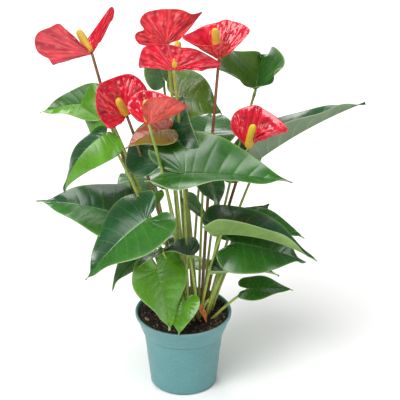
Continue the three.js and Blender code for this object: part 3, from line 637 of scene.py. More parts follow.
class Finishes:
    """All materials and the node groups that they share."""

    def __init__(self, scene):
        self.mottle = mottle_group()
        self.tissue = tissue_group(self.mottle)
        self.skin = skin_group()
        self.made = {}
        self.scene = scene

    def add_mottle(self, tree, scale, low, high):
        """A value that wanders between two limits."""
        return add_group(tree, self.mottle, Scale=scale, Low=low, High=high)

    def start(self, name, gloss, **sockets):
        """A material whose shader has these plain values; gloss is the scale and limits of its roughness."""
        material = bpy.data.materials.new(name)
        material.use_nodes = True
        tree = material.node_tree
        shader = tree.nodes["Principled BSDF"]
        for label, value in sockets.items():
            put(tree, shader.inputs[label.replace("_", " ")], value)
        tree.links.new(self.add_mottle(tree, *gloss), shader.inputs["Roughness"])
        self.made[name] = material
        return tree, shader

    def complete(self, tree, shader, colour, skin):
        """Joins a colour to the shader, and the height of a skin through a Bump node."""
        tree.links.new(colour, shader.inputs["Base Color"])
        strength, depth, cell_scale, cells, grain_scale, grain = skin
        height = add_group(tree, self.skin, Cell_Scale=cell_scale, Cells=cells, Grain_Scale=grain_scale,
                           Grain=grain)
        bump = add_node(tree, "ShaderNodeBump", Strength=strength, Distance=depth, Height=height)
        tree.links.new(bump.outputs["Normal"], shader.inputs["Normal"])

    def make_tissue(self, name, gloss, skin, blotch, vein, edge=((0.5, 0.6, 0.3), 0.7), **sockets):
        """A material for leaf, stem or flower; blotch is (scale, strength), vein and edge (colour, strength)."""
        tree, shader = self.start(name, gloss, **sockets)
        colour = add_group(tree, self.tissue, Vein_Colour=opaque(vein[0]), Vein_Strength=vein[1],
                           Edge_Colour=opaque(edge[0]), Edge_Strength=edge[1], Blotch_Scale=blotch[0],
                           Blotch_Strength=blotch[1])
        self.complete(tree, shader, colour, skin)

    def make_living(self):
        """Materials of leaves, stems and flowers."""
        self.make_tissue("leaf top", (70, 0.2, 0.36), SOFT_SKIN, (38, 0.5), vein=((0.16, 0.36, 0.06), 0.5),
                         edge=((0.30, 0.46, 0.16), 0.7), Specular_IOR_Level=0.5, Coat_Weight=0.3,
                         Coat_Roughness=0.16)
        self.make_tissue("leaf underside", (40, 0.48, 0.62), SOFT_SKIN, (45, 0.3),
                         vein=((0.42, 0.55, 0.26), 0.7), edge=((0.5, 0.62, 0.3), 0.6))
        self.make_tissue("petiole", (120, 0.32, 0.5), FINE_SKIN, (140, 0.5), vein=((0.35, 0.42, 0.15), 0.4))
        # Painted highlight: the face's lighter red margin stands in for the glint along the glossy edge.
        self.make_tissue("spathe front", (60, 0.1, 0.2), WAXY_SKIN, (70, 0.4),
                         vein=((0.80, 0.05, 0.08), 0.55), edge=((0.75, 0.06, 0.07), 0.6), Coat_Weight=0.6,
                         Coat_Roughness=0.07, Specular_IOR_Level=0.5, Subsurface_Weight=0.05,
                         Subsurface_Scale=2 * MM)
        self.make_tissue("spathe back", (60, 0.26, 0.4), WAXY_SKIN, (60, 0.3), vein=((0.86, 0.22, 0.21), 0.6),
                         edge=((0.62, 0.03, 0.05), 0.6), Specular_IOR_Level=0.4, Subsurface_Weight=0.05,
                         Subsurface_Scale=2 * MM)
        # The spadix's vein colour is painted shade, laid in the grooves between its florets.
        self.make_tissue("spadix", (300, 0.45, 0.6), FLORET_SKIN, (200, 0.3), vein=((0.42, 0.30, 0.03), 0.75),
                         Subsurface_Weight=0.1, Subsurface_Scale=1 * MM)
        self.make_tissue("sheath", (150, 0.6, 0.85), PAPERY_SKIN, (220, 0.9), vein=((0.75, 0.5, 0.22), 0.4))

    def make_pot(self):
        """Satin moulded plastic, a little dusty, with paler lines along the rim's top and the collar's foot."""
        colour = self.scene.anthurium_pot.colour
        pale = tuple(0.78 * part + 0.13 for part in colour)
        deep = tuple(0.9 * part for part in colour)
        tree, shader = self.start("pot plastic", (90, 0.34, 0.5), Specular_IOR_Level=0.45)
        base = add_mix(tree, self.add_mottle(tree, 28, 0, 1), opaque(deep), opaque(colour))
        # Paler lines along the rim's top and the collar's foot, where the edge value is set.
        pale_line_mask = add_maths(tree, "MULTIPLY", add_attribute(tree, "edge"), 0.55)
        with_pale_lines = add_mix(tree, pale_line_mask, base, opaque(pale))
        dusty = add_mix(tree, self.add_mottle(tree, 420, 0, 0.12), with_pale_lines, opaque(DUST))
        self.complete(tree, shader, dusty, PLASTIC_SKIN)

    def make_soil(self):
        """Damp peat and bark."""
        tree, shader = self.start("soil", (500, 0.6, 0.95))
        gain = self.add_mottle(tree, 420, 0.35, 1.6)
        self.complete(tree, shader, add_shade(tree, add_attribute(tree, "tint", "Color"), gain), CRUMBLY_SKIN)

    def get(self, *names):
        """Materials by name, made the first time they are asked for."""
        makers = {"pot plastic": self.make_pot, "soil": self.make_soil}
        for name in names:
            if name not in self.made:
                makers.get(name, self.make_living)()
        return [self.made[name] for name in names]


STORE = {}


def finishes(scene):
    """The materials of this scene."""
    if "finishes" not in STORE:
        STORE["finishes"] = Finishes(scene)
    return STORE["finishes"]


# ---------- pot ----------

RIM_DEPTH = 4 * MM
RIM_STEP = 1 * MM
COLLAR_TAPER = 9 * MM
COLLAR_STEP = 1.5 * MM
FLOOR_THICKNESS = 2.5 * MM
EDGE_ROUND = 2 * MM
GROOVE_DEPTH = 0.5 * MM
NOTCH_HEIGHT = 3.2 * MM
NOTCH_HALF_WIDTH = 6.5 * MM
NOTCH_BAND = 6 * MM
FIRST_NOTCH = math.radians(-87)
CORNER_ROUND = 0.9 * MM
LONGEST_STRETCH = 3 * MM
POT_SIDES = 192


def rounded(corners, radius, steps=4):
    """A profile with each inner corner replaced by a small arc."""
    corners = [np.array(corner, float) for corner in corners]
    made = [corners[0]]
    for before, corner, after in zip(corners, corners[1:], corners[2:]):
        reach = min(radius, np.linalg.norm(before - corner) / 2.2, np.linalg.norm(after - corner) / 2.2)
        start = corner + unit(before - corner) * reach
        end = corner + unit(after - corner) * reach
        for step in range(steps + 1):
            share = step / steps
            made.append((1 - share) ** 2 * start + 2 * share * (1 - share) * corner + share ** 2 * end)
    made.append(corners[-1])
    return np.array(made)


def divided(profile, longest):
    """A profile with more points on its long stretches."""
    made = [profile[0]]
    for start, end in zip(profile, profile[1:]):
        steps = max(1, math.ceil(np.linalg.norm(end - start) / longest))
        made.extend(start + (end - start) * step / steps for step in range(1, steps + 1))
    return np.array(made)


class PotShape:
    """Heights and outer radii of the pot, from its settings and its packed size."""

    def __init__(self, settings):
        self.top = POT_HIGH.z
        self.rim = (POT_HIGH.x - POT_LOW.x) / 2
        self.base = settings.base_diameter / 2
        self.thickness = settings.wall
        self.foot = self.top - settings.collar_height
        self.collar_foot = self.rim - COLLAR_TAPER
        self.collar_top = self.rim - RIM_STEP
        self.wall_top = self.collar_foot - COLLAR_STEP
        self.rim_foot = self.top - RIM_DEPTH

    def wall(self, z):
        """Outer radius below the collar."""
        return self.base + (self.wall_top - self.base) * z / self.foot

    def collar(self, z):
        """Outer radius of the collar."""
        share = (z - self.foot) / (self.top - self.foot)
        return self.collar_foot + (self.collar_top - self.collar_foot) * share


class AnthuriumAddPot(bpy.types.Operator):
    """Builds the nursery pot, with its collar, rim, foot and drain notches"""

    bl_idname = "anthurium.add_pot"
    bl_label = "Pot"

    def execute(self, context):
        settings = context.scene.anthurium_pot
        pot = PotShape(settings)
        rim, top, foot, base, wall = pot.rim, pot.top, pot.foot, pot.base, pot.thickness
        outside = [
            (0, 0), (base - EDGE_ROUND, 0), (pot.wall(EDGE_ROUND), EDGE_ROUND),
            (pot.wall_top - GROOVE_DEPTH, foot - 1.2 * MM), (pot.wall_top - GROOVE_DEPTH, foot),
            (pot.collar_foot, foot + 0.4 * MM), (pot.collar_top - 0.4 * MM, pot.rim_foot - 0.8 * MM),
            (rim - 0.1 * MM, pot.rim_foot), (rim, top - 0.5 * MM), (rim - 0.9 * MM, top),
            (pot.collar_top - wall, top), (pot.collar_foot - wall, foot + wall),
            (pot.wall_top - wall, foot + wall), (pot.wall(FLOOR_THICKNESS) - wall, FLOOR_THICKNESS),
            (0, FLOOR_THICKNESS)]
        profile = divided(rounded(outside, CORNER_ROUND), LONGEST_STRETCH)
        angles = turned(POT_SIDES)
        radius, height = profile[:, :1], profile[:, 1:]
        turn = 2 * math.pi / max(settings.notches, 1)
        from_notch = (angles - FIRST_NOTCH + turn / 2) % turn - turn / 2
        arc = np.abs(from_notch) * base
        arch = np.sqrt(np.clip(1 - (arc / NOTCH_HALF_WIDTH) ** 2, 0, 1)) if settings.notches else 0 * arc
        low = (height < FLOOR_THICKNESS * 0.9) & (radius > base - NOTCH_BAND)
        raised = height + low * arch * np.maximum(NOTCH_HEIGHT - height, 0)
        grid = np.stack([radius * np.cos(angles), radius * np.sin(angles), raised + 0 * angles], axis=-1)
        # The edge value marks lines along the rim's top and the collar's foot, which the plastic makes paler.
        on_rim = np.exp(-((height - top + 0.5 * MM) / (0.9 * MM)) ** 2)
        on_collar = np.exp(-((height - foot - 0.5 * MM) / (0.7 * MM)) ** 2)
        on_collar = on_collar * (radius > pot.collar_foot - 1 * MM)
        form = Form()
        form.add_wrapped(grid, settings.colour, edge=np.clip(on_rim + 0.6 * on_collar, 0, 1))
        form.finish("nursery_pot", "pot", "pot", finishes(context.scene).get("pot plastic"))
        return {"FINISHED"}


# ---------- soil ----------

PEAT_TINTS = ((0.020, 0.010, 0.008), (0.045, 0.020, 0.015), (0.085, 0.040, 0.028), (0.012, 0.008, 0.008),
              (0.17, 0.085, 0.06), (0.40, 0.26, 0.19))
PEAT_SHARES = (0.24, 0.24, 0.20, 0.12, 0.12, 0.08)
FIBRE_TINT = (0.42, 0.30, 0.17)
SOIL_GAP = 0.3 * MM
CLOD_HEIGHT = 0.9 * MM
BANK_HEIGHT = 2.6 * MM
SOIL_SIDES = 160
SOIL_RINGS = 60


def soil_height(x, y, dome, reach):
    """Height of the soil surface above a place: a dome, a bank toward the pot, and clods."""
    away = np.hypot(x, y) / reach
    place = np.stack([x, y, 0 * x], axis=-1)
    lumps = 1.1 * rough(place, 260, 3) + rough(place, 90, 8)
    bank = BANK_HEIGHT * np.clip((away - 0.55) / 0.35, 0, 1)
    clods = CLOD_HEIGHT * lumps * np.clip(12 * (1 - away), 0, 1)
    return SOIL_Z + dome * (1 - away ** 4) + bank + clods


class AnthuriumAddSoil(bpy.types.Operator):
    """Builds the soil in the pot, with loose chips of bark and fibres on it"""

    bl_idname = "anthurium.add_soil"
    bl_label = "Soil"

    def execute(self, context):
        settings = context.scene.anthurium_soil
        low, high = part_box("soil")
        reach = (high.x - low.x) / 2
        pot = PotShape(context.scene.anthurium_pot)
        gap = pot.thickness + SOIL_GAP
        ledge = pot.foot + gap
        angles = turned(SOIL_SIDES)
        rings = np.linspace(1, 0, SOIL_RINGS)[:, None]
        x, y = reach * rings * np.cos(angles), reach * rings * np.sin(angles)
        top = np.stack([x, y, soil_height(x, y, settings.dome, reach)], axis=-1)
        top[-1] = top[-1].mean(axis=0)
        body = [[(r * np.cos(a), r * np.sin(a), z) for a in angles]
                for r, z in ((0, low.z), (pot.wall(low.z) - gap, low.z), (pot.wall(pot.foot) - gap, ledge),
                             (pot.collar(ledge) - gap, ledge))]
        form = Form()
        form.add_wrapped(np.concatenate([np.array(body), top]), settings.colour)
        form.finish("soil_body", "soil", "soil", finishes(context.scene).get("soil"))
        self.add_chips(context, settings, reach)
        self.add_fibres(context, settings, reach)
        return {"FINISHED"}

    @staticmethod
    def add_chips(context, settings, reach):
        """Chips of many sizes, each a faceted lump pressed flat."""
        chance = np.random.default_rng(7)
        lump = bmesh.new()
        bmesh.ops.create_icosphere(lump, subdivisions=1, radius=1)
        corners = np.array([corner.co for corner in lump.verts])
        faces = np.array([[corner.index for corner in face.verts] for face in lump.faces])
        lump.free()
        form = Form()
        for _ in range(settings.chips):
            away = 0.985 * math.sqrt(chance.random())
            angle = chance.random() * 2 * math.pi
            x, y = reach * away * math.cos(angle), reach * away * math.sin(angle)
            size = (0.5 + 1.5 * chance.random() ** 2.5) * MM
            shape = corners * (1 + 0.35 * chance.standard_normal(len(corners))[:, None])
            shape = shape * np.array([1.0 + 1.1 * chance.random(), 0.8, 0.35 + 0.45 * chance.random()]) * size
            turn = chance.random() * 2 * math.pi
            tilt = 0.7 * chance.standard_normal()
            shape = shape @ np.array(Matrix.Rotation(turn, 3, "Z") @ Matrix.Rotation(tilt, 3, "Y")).T
            ground = soil_height(np.array([x]), np.array([y]), settings.dome, reach)[0]
            centre = np.array([x, y, ground + 0.3 * size])
            tint = PEAT_TINTS[chance.choice(len(PEAT_TINTS), p=PEAT_SHARES)]
            first = form.count
            form.add_points((centre + shape)[:, None], tint)
            form.faces.extend((faces + first).tolist())
            form.finishes.extend([0] * len(faces))
        piece = form.finish("soil_chips", "soil", "soil", finishes(context.scene).get("soil"))
        piece.data.polygons.foreach_set("use_smooth", [False] * len(piece.data.polygons))

    @staticmethod
    def add_fibres(context, settings, reach):
        """Thin curved fibres that lie on the soil."""
        chance = np.random.default_rng(11)
        form = Form()
        for _ in range(settings.fibres):
            away = 0.93 * math.sqrt(chance.random())
            angle, heading = chance.random(2) * 2 * math.pi
            length = (4 + 8 * chance.random()) * MM
            bend = chance.standard_normal() * 0.8
            steps = np.linspace(-0.5, 0.5, 8)
            x = reach * away * math.cos(angle) + length * steps * np.cos(heading + bend * steps)
            y = reach * away * math.sin(angle) + length * steps * np.sin(heading + bend * steps)
            inside = np.minimum(1, 0.97 * reach / np.hypot(x, y))
            x, y = x * inside, y * inside
            z = soil_height(x, y, settings.dome, reach) + (0.6 + 0.8 * chance.random()) * MM
            radii = (0.18 + 0.22 * chance.random()) * MM * (1.05 - np.abs(steps) * 1.4)
            tint = np.array(FIBRE_TINT) * (0.35 + 0.9 * chance.random())
            form.add_tube(np.stack([x, y, z], axis=-1), radii, 5, tint, 0)
        form.finish("soil_fibres", "soil", "soil", finishes(context.scene).get("soil"))


# ---------- stems ----------

STEM_STEPS = 48
STEM_SIDES = 12
KNEE_DROP = 7 * MM
KNEE_LENGTH = 5 * MM
FOOT_LENGTH = 14 * MM


def stem_path(row, shares):
    """Points of a stem, which leaves its root steeply and leans out as it rises."""
    foot = table_point((*row["root"], -PLANTING_DEPTH))
    joint = table_point(row["joint"])
    rise = joint - foot
    lean = row.get("lean", STEM_LEAN)
    middle = (foot + joint) / 2 - np.array([lean, lean, 0]) * rise
    middle[2] += STEM_LIFT * np.linalg.norm(rise)
    shares = np.asarray(shares, float)[:, None]
    return (1 - shares) ** 2 * foot + 2 * shares * (1 - shares) * middle + shares ** 2 * joint


def add_stem(form, row, diameter, foot_tint, top_tint, finish, knee):
    """A stem with a wider foot, a slight taper and a swollen knee under the blade."""
    shares = np.linspace(0, 1, STEM_STEPS)
    path = stem_path(row, shares)
    reach = np.linalg.norm(np.diff(path, axis=0), axis=1).sum()
    swelling = knee * np.exp(-(((1 - shares) * reach - KNEE_DROP) / KNEE_LENGTH) ** 2)
    widening = 0.3 * np.exp(-(shares * reach / FOOT_LENGTH) ** 2)
    radii = diameter / 2 * (1.08 - 0.2 * shares + swelling + widening)
    lift = np.clip(shares * 1.5 - 0.3, 0, 1)[:, None, None]
    tint = np.asarray(foot_tint) * (1 - lift) + np.asarray(top_tint) * lift
    tint = tint * (1 - 0.25 * np.clip(swelling / max(knee, TINY), 0, 1) * (knee > 0))[:, None, None]
    form.add_tube(path, radii, STEM_SIDES, tint, finish)


# ---------- blades ----------

VEIN_HALF_WIDTH = 0.05
VEIN_BEND = 1.35
MIDRIB_SHARE = 0.03


def blade_axes(joint, tip, roll):
    """Directions along a blade, up from its face and to its left."""
    along = unit(tip - joint)
    upward = np.array([0.0, 1.0, 0.0] if abs(along[2]) > 0.98 else [0.0, 0.0, 1.0])
    level = unit(upward - along * upward.dot(along))
    up = level * math.cos(roll) + np.cross(level, along) * math.sin(roll)
    return along, up, np.cross(up, along)


def blade_half(row, along_share, across_share, side):
    """Points of the left (0) or right (1) half of a blade, an arc folded up from its midrib."""
    joint, tip = table_point(row["joint"]), table_point(row["tip"])
    along, up, left = blade_axes(joint, tip, math.radians(row.get("roll", 0)))
    droop = math.radians(row.get("droop", USUAL_DROOP))
    fold = math.radians(row.get("fold", USUAL_FOLD)[side])
    curl = math.radians(row.get("curl", USUAL_CURL)[side])
    radius = np.linalg.norm(tip - joint) / (2 * math.sin(droop / 2))
    half_width = row["width"] * MM / 2
    ahead = along_share > 0
    lean = np.where(ahead, droop * (0.5 - along_share), droop / 2)
    behind = np.minimum(along_share, 0) * radius * droop * row.get("lobes", 1)
    x = np.where(ahead, radius * (math.sin(droop / 2) - np.sin(lean)), behind * np.cos(lean))
    z = np.where(ahead, radius * (np.cos(lean) - math.cos(droop / 2)), behind * np.sin(lean))
    angle = fold + curl * across_share
    across = half_width * (np.sin(angle) - math.sin(fold)) / curl
    lift = half_width * (math.cos(fold) - np.cos(angle)) / curl
    sign = 1 if side == 0 else -1
    parts = (x - lift * np.sin(lean), z + lift * np.cos(lean), sign * across)
    return joint + sum(part[..., None] * axis for part, axis in zip(parts, (along, up, left)))


def blade_grid(row, outline, shares, bend=1):
    """Points of a whole blade, row by row from one margin over the midrib to the other."""
    start = np.maximum(outline[:, 2:3], 0)
    along = start + (outline[:, :1] - start) * shares ** bend
    left, right = (blade_half(row, along, outline[:, 1:2] * shares, side) for side in (0, 1))
    return np.concatenate([left[:, :0:-1], right], axis=1)


def vein_rows(veins, last):
    """Rows of a blade, close together at each vein, and for each row how near it is to a vein and how far
    it lies between two."""
    edges = [0, *veins, last]
    places = {0.0, float(last)}
    for start, end in zip(edges, edges[1:]):
        places.update(start + (end - start) * share for share in (0.25, 0.5, 0.75))
    for vein in veins:
        places.update((vein - VEIN_HALF_WIDTH, vein, vein + VEIN_HALF_WIDTH))
    places = np.array(sorted(places))
    nearest = np.abs(places[:, None] - np.array(veins)).min(axis=1)
    near = np.clip(1 - nearest / VEIN_HALF_WIDTH, 0, 1)
    step = np.clip(np.searchsorted(edges, places, side="right") - 1, 0, len(edges) - 2)
    starts, ends = np.array(edges)[step], np.array(edges)[step + 1]
    return places, near, np.sin(np.pi * (places - starts) / (ends - starts))


def add_blade(form, row, settings, tints, seed):
    """A blade with pressed veins, a raised midrib below, puffed panels and a waving margin."""
    places, near, between = vein_rows(LEAF_VEINS, len(LEAF_OUTLINE) - 1)
    shares = np.array(LEAF_SHARES)
    grid = blade_grid(row, smooth_through(LEAF_OUTLINE, places), shares, VEIN_BEND)
    share = np.concatenate([shares[:0:-1], shares])[None]
    sides = np.concatenate([-np.ones(len(shares) - 1), np.ones(len(shares))])[None]
    size = row["width"] / USUAL_WIDTH
    normals = grid_normals(grid, coincident(grid))
    wave = np.sin(places[:, None] * 1.9 + seed * 1.7 + sides * 0.8) * share ** 3
    wave = wave + 1.6 * rough(grid, 22, seed) * share
    puff = between[:, None] * (4 * share * (1 - share)) ** 0.7
    grid = grid + normals * (settings.wave * size * wave + settings.puff * size * puff)[..., None]
    lateral = near[:, None] * (0.6 - 0.4 * share)
    midrib = np.clip(1 - share / MIDRIB_SHARE, 0, 1)
    collective = 0.3 * np.exp(-((share - 0.9) / 0.035) ** 2) * (places[:, None] > 1)
    vein = np.maximum(np.maximum(lateral, midrib), collective)
    edge = np.clip((share - 0.955) / 0.045, 0, 1)
    half = settings.thickness / 2
    front = half - settings.vein_depth * vein
    back = half + settings.vein_depth * (0.8 * lateral + 2.6 * midrib)
    # Painted light and shade: the top's colour passes from the left half's tone to the right half's, which for
    # most leaves are a lit and a shaded tone.
    toward_right = np.clip(0.5 + sides * share * 6, 0, 1)[..., None]
    top = tints[0] * (1 - toward_right) + tints[1] * toward_right
    form.add_sheet(grid, front, back, (top, tints[2]), (0, 1, 1), vein=vein, edge=edge)


class AnthuriumAddLeaves(bpy.types.Operator):
    """Builds the leaves, each a heart-shaped blade on its own petiole"""

    bl_idname = "anthurium.add_leaves"
    bl_label = "Leaves"

    def execute(self, context):
        settings = context.scene.anthurium_leaves
        chance = np.random.default_rng(21)
        materials = finishes(context.scene).get("leaf top", "leaf underside", "petiole")
        for number, row in enumerate(LEAVES):
            tone = row.get("tone", "mid")
            tones = row.get("tones", (tone, tone))
            young = row["name"] == "leaf_young_bronze"
            shade = 0.88 + 0.26 * chance.random()
            left, right = (np.array(getattr(settings, name)) * shade for name in tones)
            under = np.array(row.get("under", settings.under)) * (0.9 + 0.2 * chance.random())
            if young:
                under = right
            petiole = np.array(settings.petiole) * (0.75 + 0.5 * chance.random())
            form = Form()
            add_blade(form, row, settings, (left, right, under), number + 1)
            add_stem(form, row, settings.petiole_diameter, settings.petiole_foot, petiole, 2, 0.32)
            form.finish("grown_" + row["name"], row["name"], "young_leaf" if young else "leaf", materials)
        return {"FINISHED"}


# ---------- flowers ----------

SPATHE_ROWS = 12
SPATHE_COLUMNS = 44
LIP_DROP = 1.3 * MM

# Outline of a spadix: girth and height, as shares of its own.
SPADIX_OUTLINE = [(0.5, 0), (0.88, 0.08), (1, 0.25), (0.97, 0.6), (0.86, 0.84), (0.55, 0.97), (0, 1)]
SPADIX_SEAT = 2.5 * MM
FLORETS_AROUND = 14
FLORET_PITCH = 2.2 * MM
FLORET_HEIGHT = 0.42 * MM
FLORET_STEPS = 6


class AnthuriumAddSpathes(bpy.types.Operator):
    """Builds the glossy spathes, quilted between their veins"""

    bl_idname = "anthurium.add_spathes"
    bl_label = "Spathes"

    def execute(self, context):
        settings = context.scene.anthurium_flowers
        materials = finishes(context.scene).get("spathe front", "spathe back")
        for number, row in enumerate(FLOWERS):
            form = Form()
            self.add_spathe(form, row, settings, number + 1)
            name = row["name"] + "_spathe"
            form.finish("grown_" + name, name, "spathe", materials)
        return {"FINISHED"}

    @staticmethod
    def add_spathe(form, row, settings, seed):
        """A fan of veins from the joint to the margin, made in one closed sheet."""
        joint = table_point(row["joint"])
        axis = unit(np.array(row["spadix"], float))
        margin = [(*point, 0)[:4] for point in row["margin"]]
        last = len(margin) - 1
        places = np.linspace(0, last, last * SPATHE_ROWS + 1)
        ends = smooth_through(margin, places) * MM
        share = np.linspace(0, 1, SPATHE_COLUMNS)[None] ** 0.9
        arch = 4 * ends[:, 3:4] * share * (1 - share)
        grid = joint + ends[:, None, :3] * share[..., None] + axis * arch[..., None]
        normals = -grid_normals(grid, coincident(grid))
        between = np.abs(np.sin(np.pi * places))[:, None]
        flat = 0 * share + 0 * between
        panel = np.stack([places[:, None] * 1.5 + flat, share * 3.4 + flat, flat], axis=-1)
        cells = rough(panel, 1, seed)
        fine = rough(panel, 2.4, seed + 20)
        banded = np.clip(3 - 0.5 * places[:, None], 0, 1)
        bands = row.get("bands", 0) * np.sin(24 * share + 2 * cells) * banded
        strength = settings.relief * row["wrinkle"] * share ** 0.6 * (1 - share ** 10)
        relief = strength * (between ** 0.7 * (0.7 + 0.6 * cells) - 0.4 + 1.2 * cells + 0.9 * fine + bands)
        lip = -LIP_DROP * np.clip((share - 0.86) / 0.14, 0, 1) ** 2
        grid = grid + normals * (relief + lip)[..., None]
        vein = np.clip((1 - between) ** 3 * (1 - 0.5 * share) + 0.9 * np.clip(2.2 * fine - 0.2, 0, 1), 0, 1)
        edge = np.clip((share - 0.965) / 0.035, 0, 1)
        half = settings.thickness / 2
        # Painted light and shade: the colour is lighter on the raised cells of the quilting and darker in its
        # hollows.
        shade = 1 + 0.6 * cells[..., None]
        back_tint = np.array(row.get("back", settings.back))
        tints = (back_tint * shade, np.array(settings.front) * shade)
        form.add_sheet(grid, half, half, tints, (1, 0, 1), vein=vein, edge=edge)


class AnthuriumAddSpadices(bpy.types.Operator):
    """Builds the spadices, each a spike covered in small florets"""

    bl_idname = "anthurium.add_spadices"
    bl_label = "Spadices"

    def execute(self, context):
        settings = context.scene.anthurium_flowers
        for row in FLOWERS:
            form = Form()
            self.add_spadix(form, row, settings)
            name = row["name"] + "_spadix"
            form.finish("grown_" + name, name, "spadix", finishes(context.scene).get("spadix"))
        return {"FINISHED"}

    @staticmethod
    def add_spadix(form, row, settings):
        """A blunt spike with a diamond net of florets, with painted shade in the grooves between them."""
        length = np.linalg.norm(row["spadix"]) * MM
        up = unit(np.array(row["spadix"], float))
        radius = settings.spadix_diameter / 2 - FLORET_HEIGHT
        rows = int(length / FLORET_PITCH * 7)
        share = np.linspace(0, 1, rows)
        outline = smooth_through(SPADIX_OUTLINE, share * (len(SPADIX_OUTLINE) - 1))
        height = SPADIX_SEAT + (length - SPADIX_SEAT) * np.clip(outline[:, 1], 0, 1)
        girth = radius * np.clip(outline[:, 0], 0, 2)
        angles = turned(FLORETS_AROUND * FLORET_STEPS)
        turn = math.pi * height[:, None] / FLORET_PITCH
        rising, falling = (np.cos(FLORETS_AROUND * angles / 2 + sign * turn) for sign in (1, -1))
        florets = rising ** 2 * falling ** 2
        fade = np.clip(girth / radius * 1.6, 0, 1)[:, None]
        reach = girth[:, None] + FLORET_HEIGHT * fade * (2 * florets ** 0.6 - 0.6)
        reach = np.maximum(reach, 0) * (np.arange(rows) < rows - 1)[:, None]
        spike = height[:, None, None] * up + around(reach, angles, *square_to(up, (0.2, 0.9, 0.3)))
        seat = np.repeat((SPADIX_SEAT * up)[None, None], len(angles), axis=1)
        grid = table_point(row["joint"]) + np.concatenate([seat, spike])
        florets = np.concatenate([florets[:1], florets])
        mix = np.clip(np.concatenate([share[:1], share]) * 1.5 - 0.25, 0, 1)[:, None, None]
        foot_tint = np.array(row.get("spadix_foot", settings.spadix_foot))
        tint = foot_tint * (1 - mix) + np.array(row.get("spadix_tip", settings.spadix_tip)) * mix
        # Painted shade: the vein mask darkens the grooves between the florets.
        form.add_wrapped(grid, tint, vein=np.clip(1 - 2.2 * florets, 0, 1))


class AnthuriumAddFlowerStems(bpy.types.Operator):
    """Builds the stems of the flowers"""

    bl_idname = "anthurium.add_flower_stems"
    bl_label = "Flower stems"

    def execute(self, context):
        settings = context.scene.anthurium_flowers
        for row in FLOWERS:
            form = Form()
            add_stem(form, row, settings.stem_diameter, *row["stem"], 0, 0)
            name = row["name"] + "_stem"
            form.finish("grown_" + name, name, "flower_stem", finishes(context.scene).get("petiole"))
        return {"FINISHED"}


# ---------- crown and sheaths ----------

CROWN_TINT = (0.05, 0.035, 0.018)
GREEN_SCALE = (0.30, 0.33, 0.11)
BROWN_SCALE = (0.34, 0.16, 0.06)
SCALE_REACH = math.radians(115)
SHEATH_RIBS = 15


class AnthuriumAddCrown(bpy.types.Operator):
    """Builds the crown of the plant, with a pointed scale round the foot of each stem"""

    bl_idname = "anthurium.add_crown"
    bl_label = "Crown"

    def execute(self, context):
        low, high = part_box("crown")
        reach = (high.x - low.x) / 2
        centre = table_point((*CROWN_AT, 0))
        corners = [(0, low.z), (0.95 * reach, low.z), (reach, SOIL_Z), (0.8 * reach, SOIL_Z + 3 * MM),
                   (0.4 * reach, high.z - 2.5 * MM), (0, high.z - 2.5 * MM)]
        profile = divided(np.array(corners), 2 * MM)
        angles = turned(72)
        radius, height = profile[:, :1], profile[:, 1:]
        grid = np.stack([centre[0] + radius * np.cos(angles), centre[1] + radius * np.sin(angles),
                         height + 0 * angles], axis=-1)
        lumps = rough(grid, 170, 5) * 1.6 * MM * np.clip(radius / (4 * MM), 0, 1)
        grid[..., 2] += lumps * (height > SOIL_Z - 2 * MM)
        form = Form()
        form.add_wrapped(grid, CROWN_TINT * (1 + 0.5 * rough(grid, 300, 9)[..., None]))
        form.finish("crown_body", "crown", "crown", finishes(context.scene).get("soil"))
        self.add_scales(context)
        return {"FINISHED"}

    @staticmethod
    def add_scales(context):
        """Each scale is a strip wrapped round its stem that narrows to a point."""
        chance = np.random.default_rng(31)
        form = Form()
        for row in [*LEAVES, *FLOWERS]:
            tall = 10 + 12 * chance.random()
            reach = np.linalg.norm(table_point(row["joint"]) - table_point((*row["root"], 0))) / MM
            start = PLANTING_DEPTH * 0.6 / reach
            shares = np.linspace(start, start + tall / reach, 10)
            path = stem_path(row, shares)
            tangent = unit(path[-1] - path[0])
            facing = chance.random() * 2 * math.pi
            up = np.linspace(0, 1, 10)[:, None]
            spread = np.linspace(-1, 1, 9)[None]
            angle = facing + spread * SCALE_REACH * (1 - up ** 1.6)
            width = (2.5 + 0.7 * up ** 2) * MM
            grid = path[:, None] + around(width, angle, *square_to(tangent, (0.1, 1, 0)))
            age = chance.random()
            tint = np.array(GREEN_SCALE) * (1 - age) + np.array(BROWN_SCALE) * age
            form.add_sheet(grid, 0.15 * MM, 0.15 * MM, (tint, tint), (0, 0, 0),
                           vein=np.clip(np.cos(spread * 9) * 0.5, 0, 1))
        form.finish("crown_scales", "crown", "crown", finishes(context.scene).get("sheath"))


class AnthuriumAddSheaths(bpy.types.Operator):
    """Builds the papery sheaths at the foot of the stems"""

    bl_idname = "anthurium.add_sheaths"
    bl_label = "Sheaths"

    def execute(self, context):
        shares = np.linspace(0, 1, 11)
        outline = smooth_through(LEAF_OUTLINE, np.linspace(0, len(LEAF_OUTLINE) - 1, 61))
        share = np.concatenate([-shares[:0:-1], shares])[None]
        ribs = np.cos(share * SHEATH_RIBS)
        materials = finishes(context.scene).get("sheath")
        for number, row in enumerate(SHEATHS):
            grid = blade_grid(row, outline, shares)
            normals = grid_normals(grid, coincident(grid))
            lift = ribs * 0.25 * MM + rough(grid, 240, number + 40) * 0.8 * MM
            grid = grid + normals * (lift * np.abs(share))[..., None]
            form = Form()
            form.add_sheet(grid, 0.25 * MM, 0.25 * MM, (row["tint"], row["tint"]), (0, 0, 0),
                           vein=np.clip(ribs, 0, 1))
            form.finish("grown_" + row["name"], row["name"], row["slot"], materials)
        return {"FINISHED"}


# ---------- stage ----------

AIM = Vector((20.7, 0, 256)) * MM
SUN_PLACE = (-0.7, -1.0, 2.4)
FLOOR_RADIUS = 9
FLOOR_DROP = 0.05 * MM


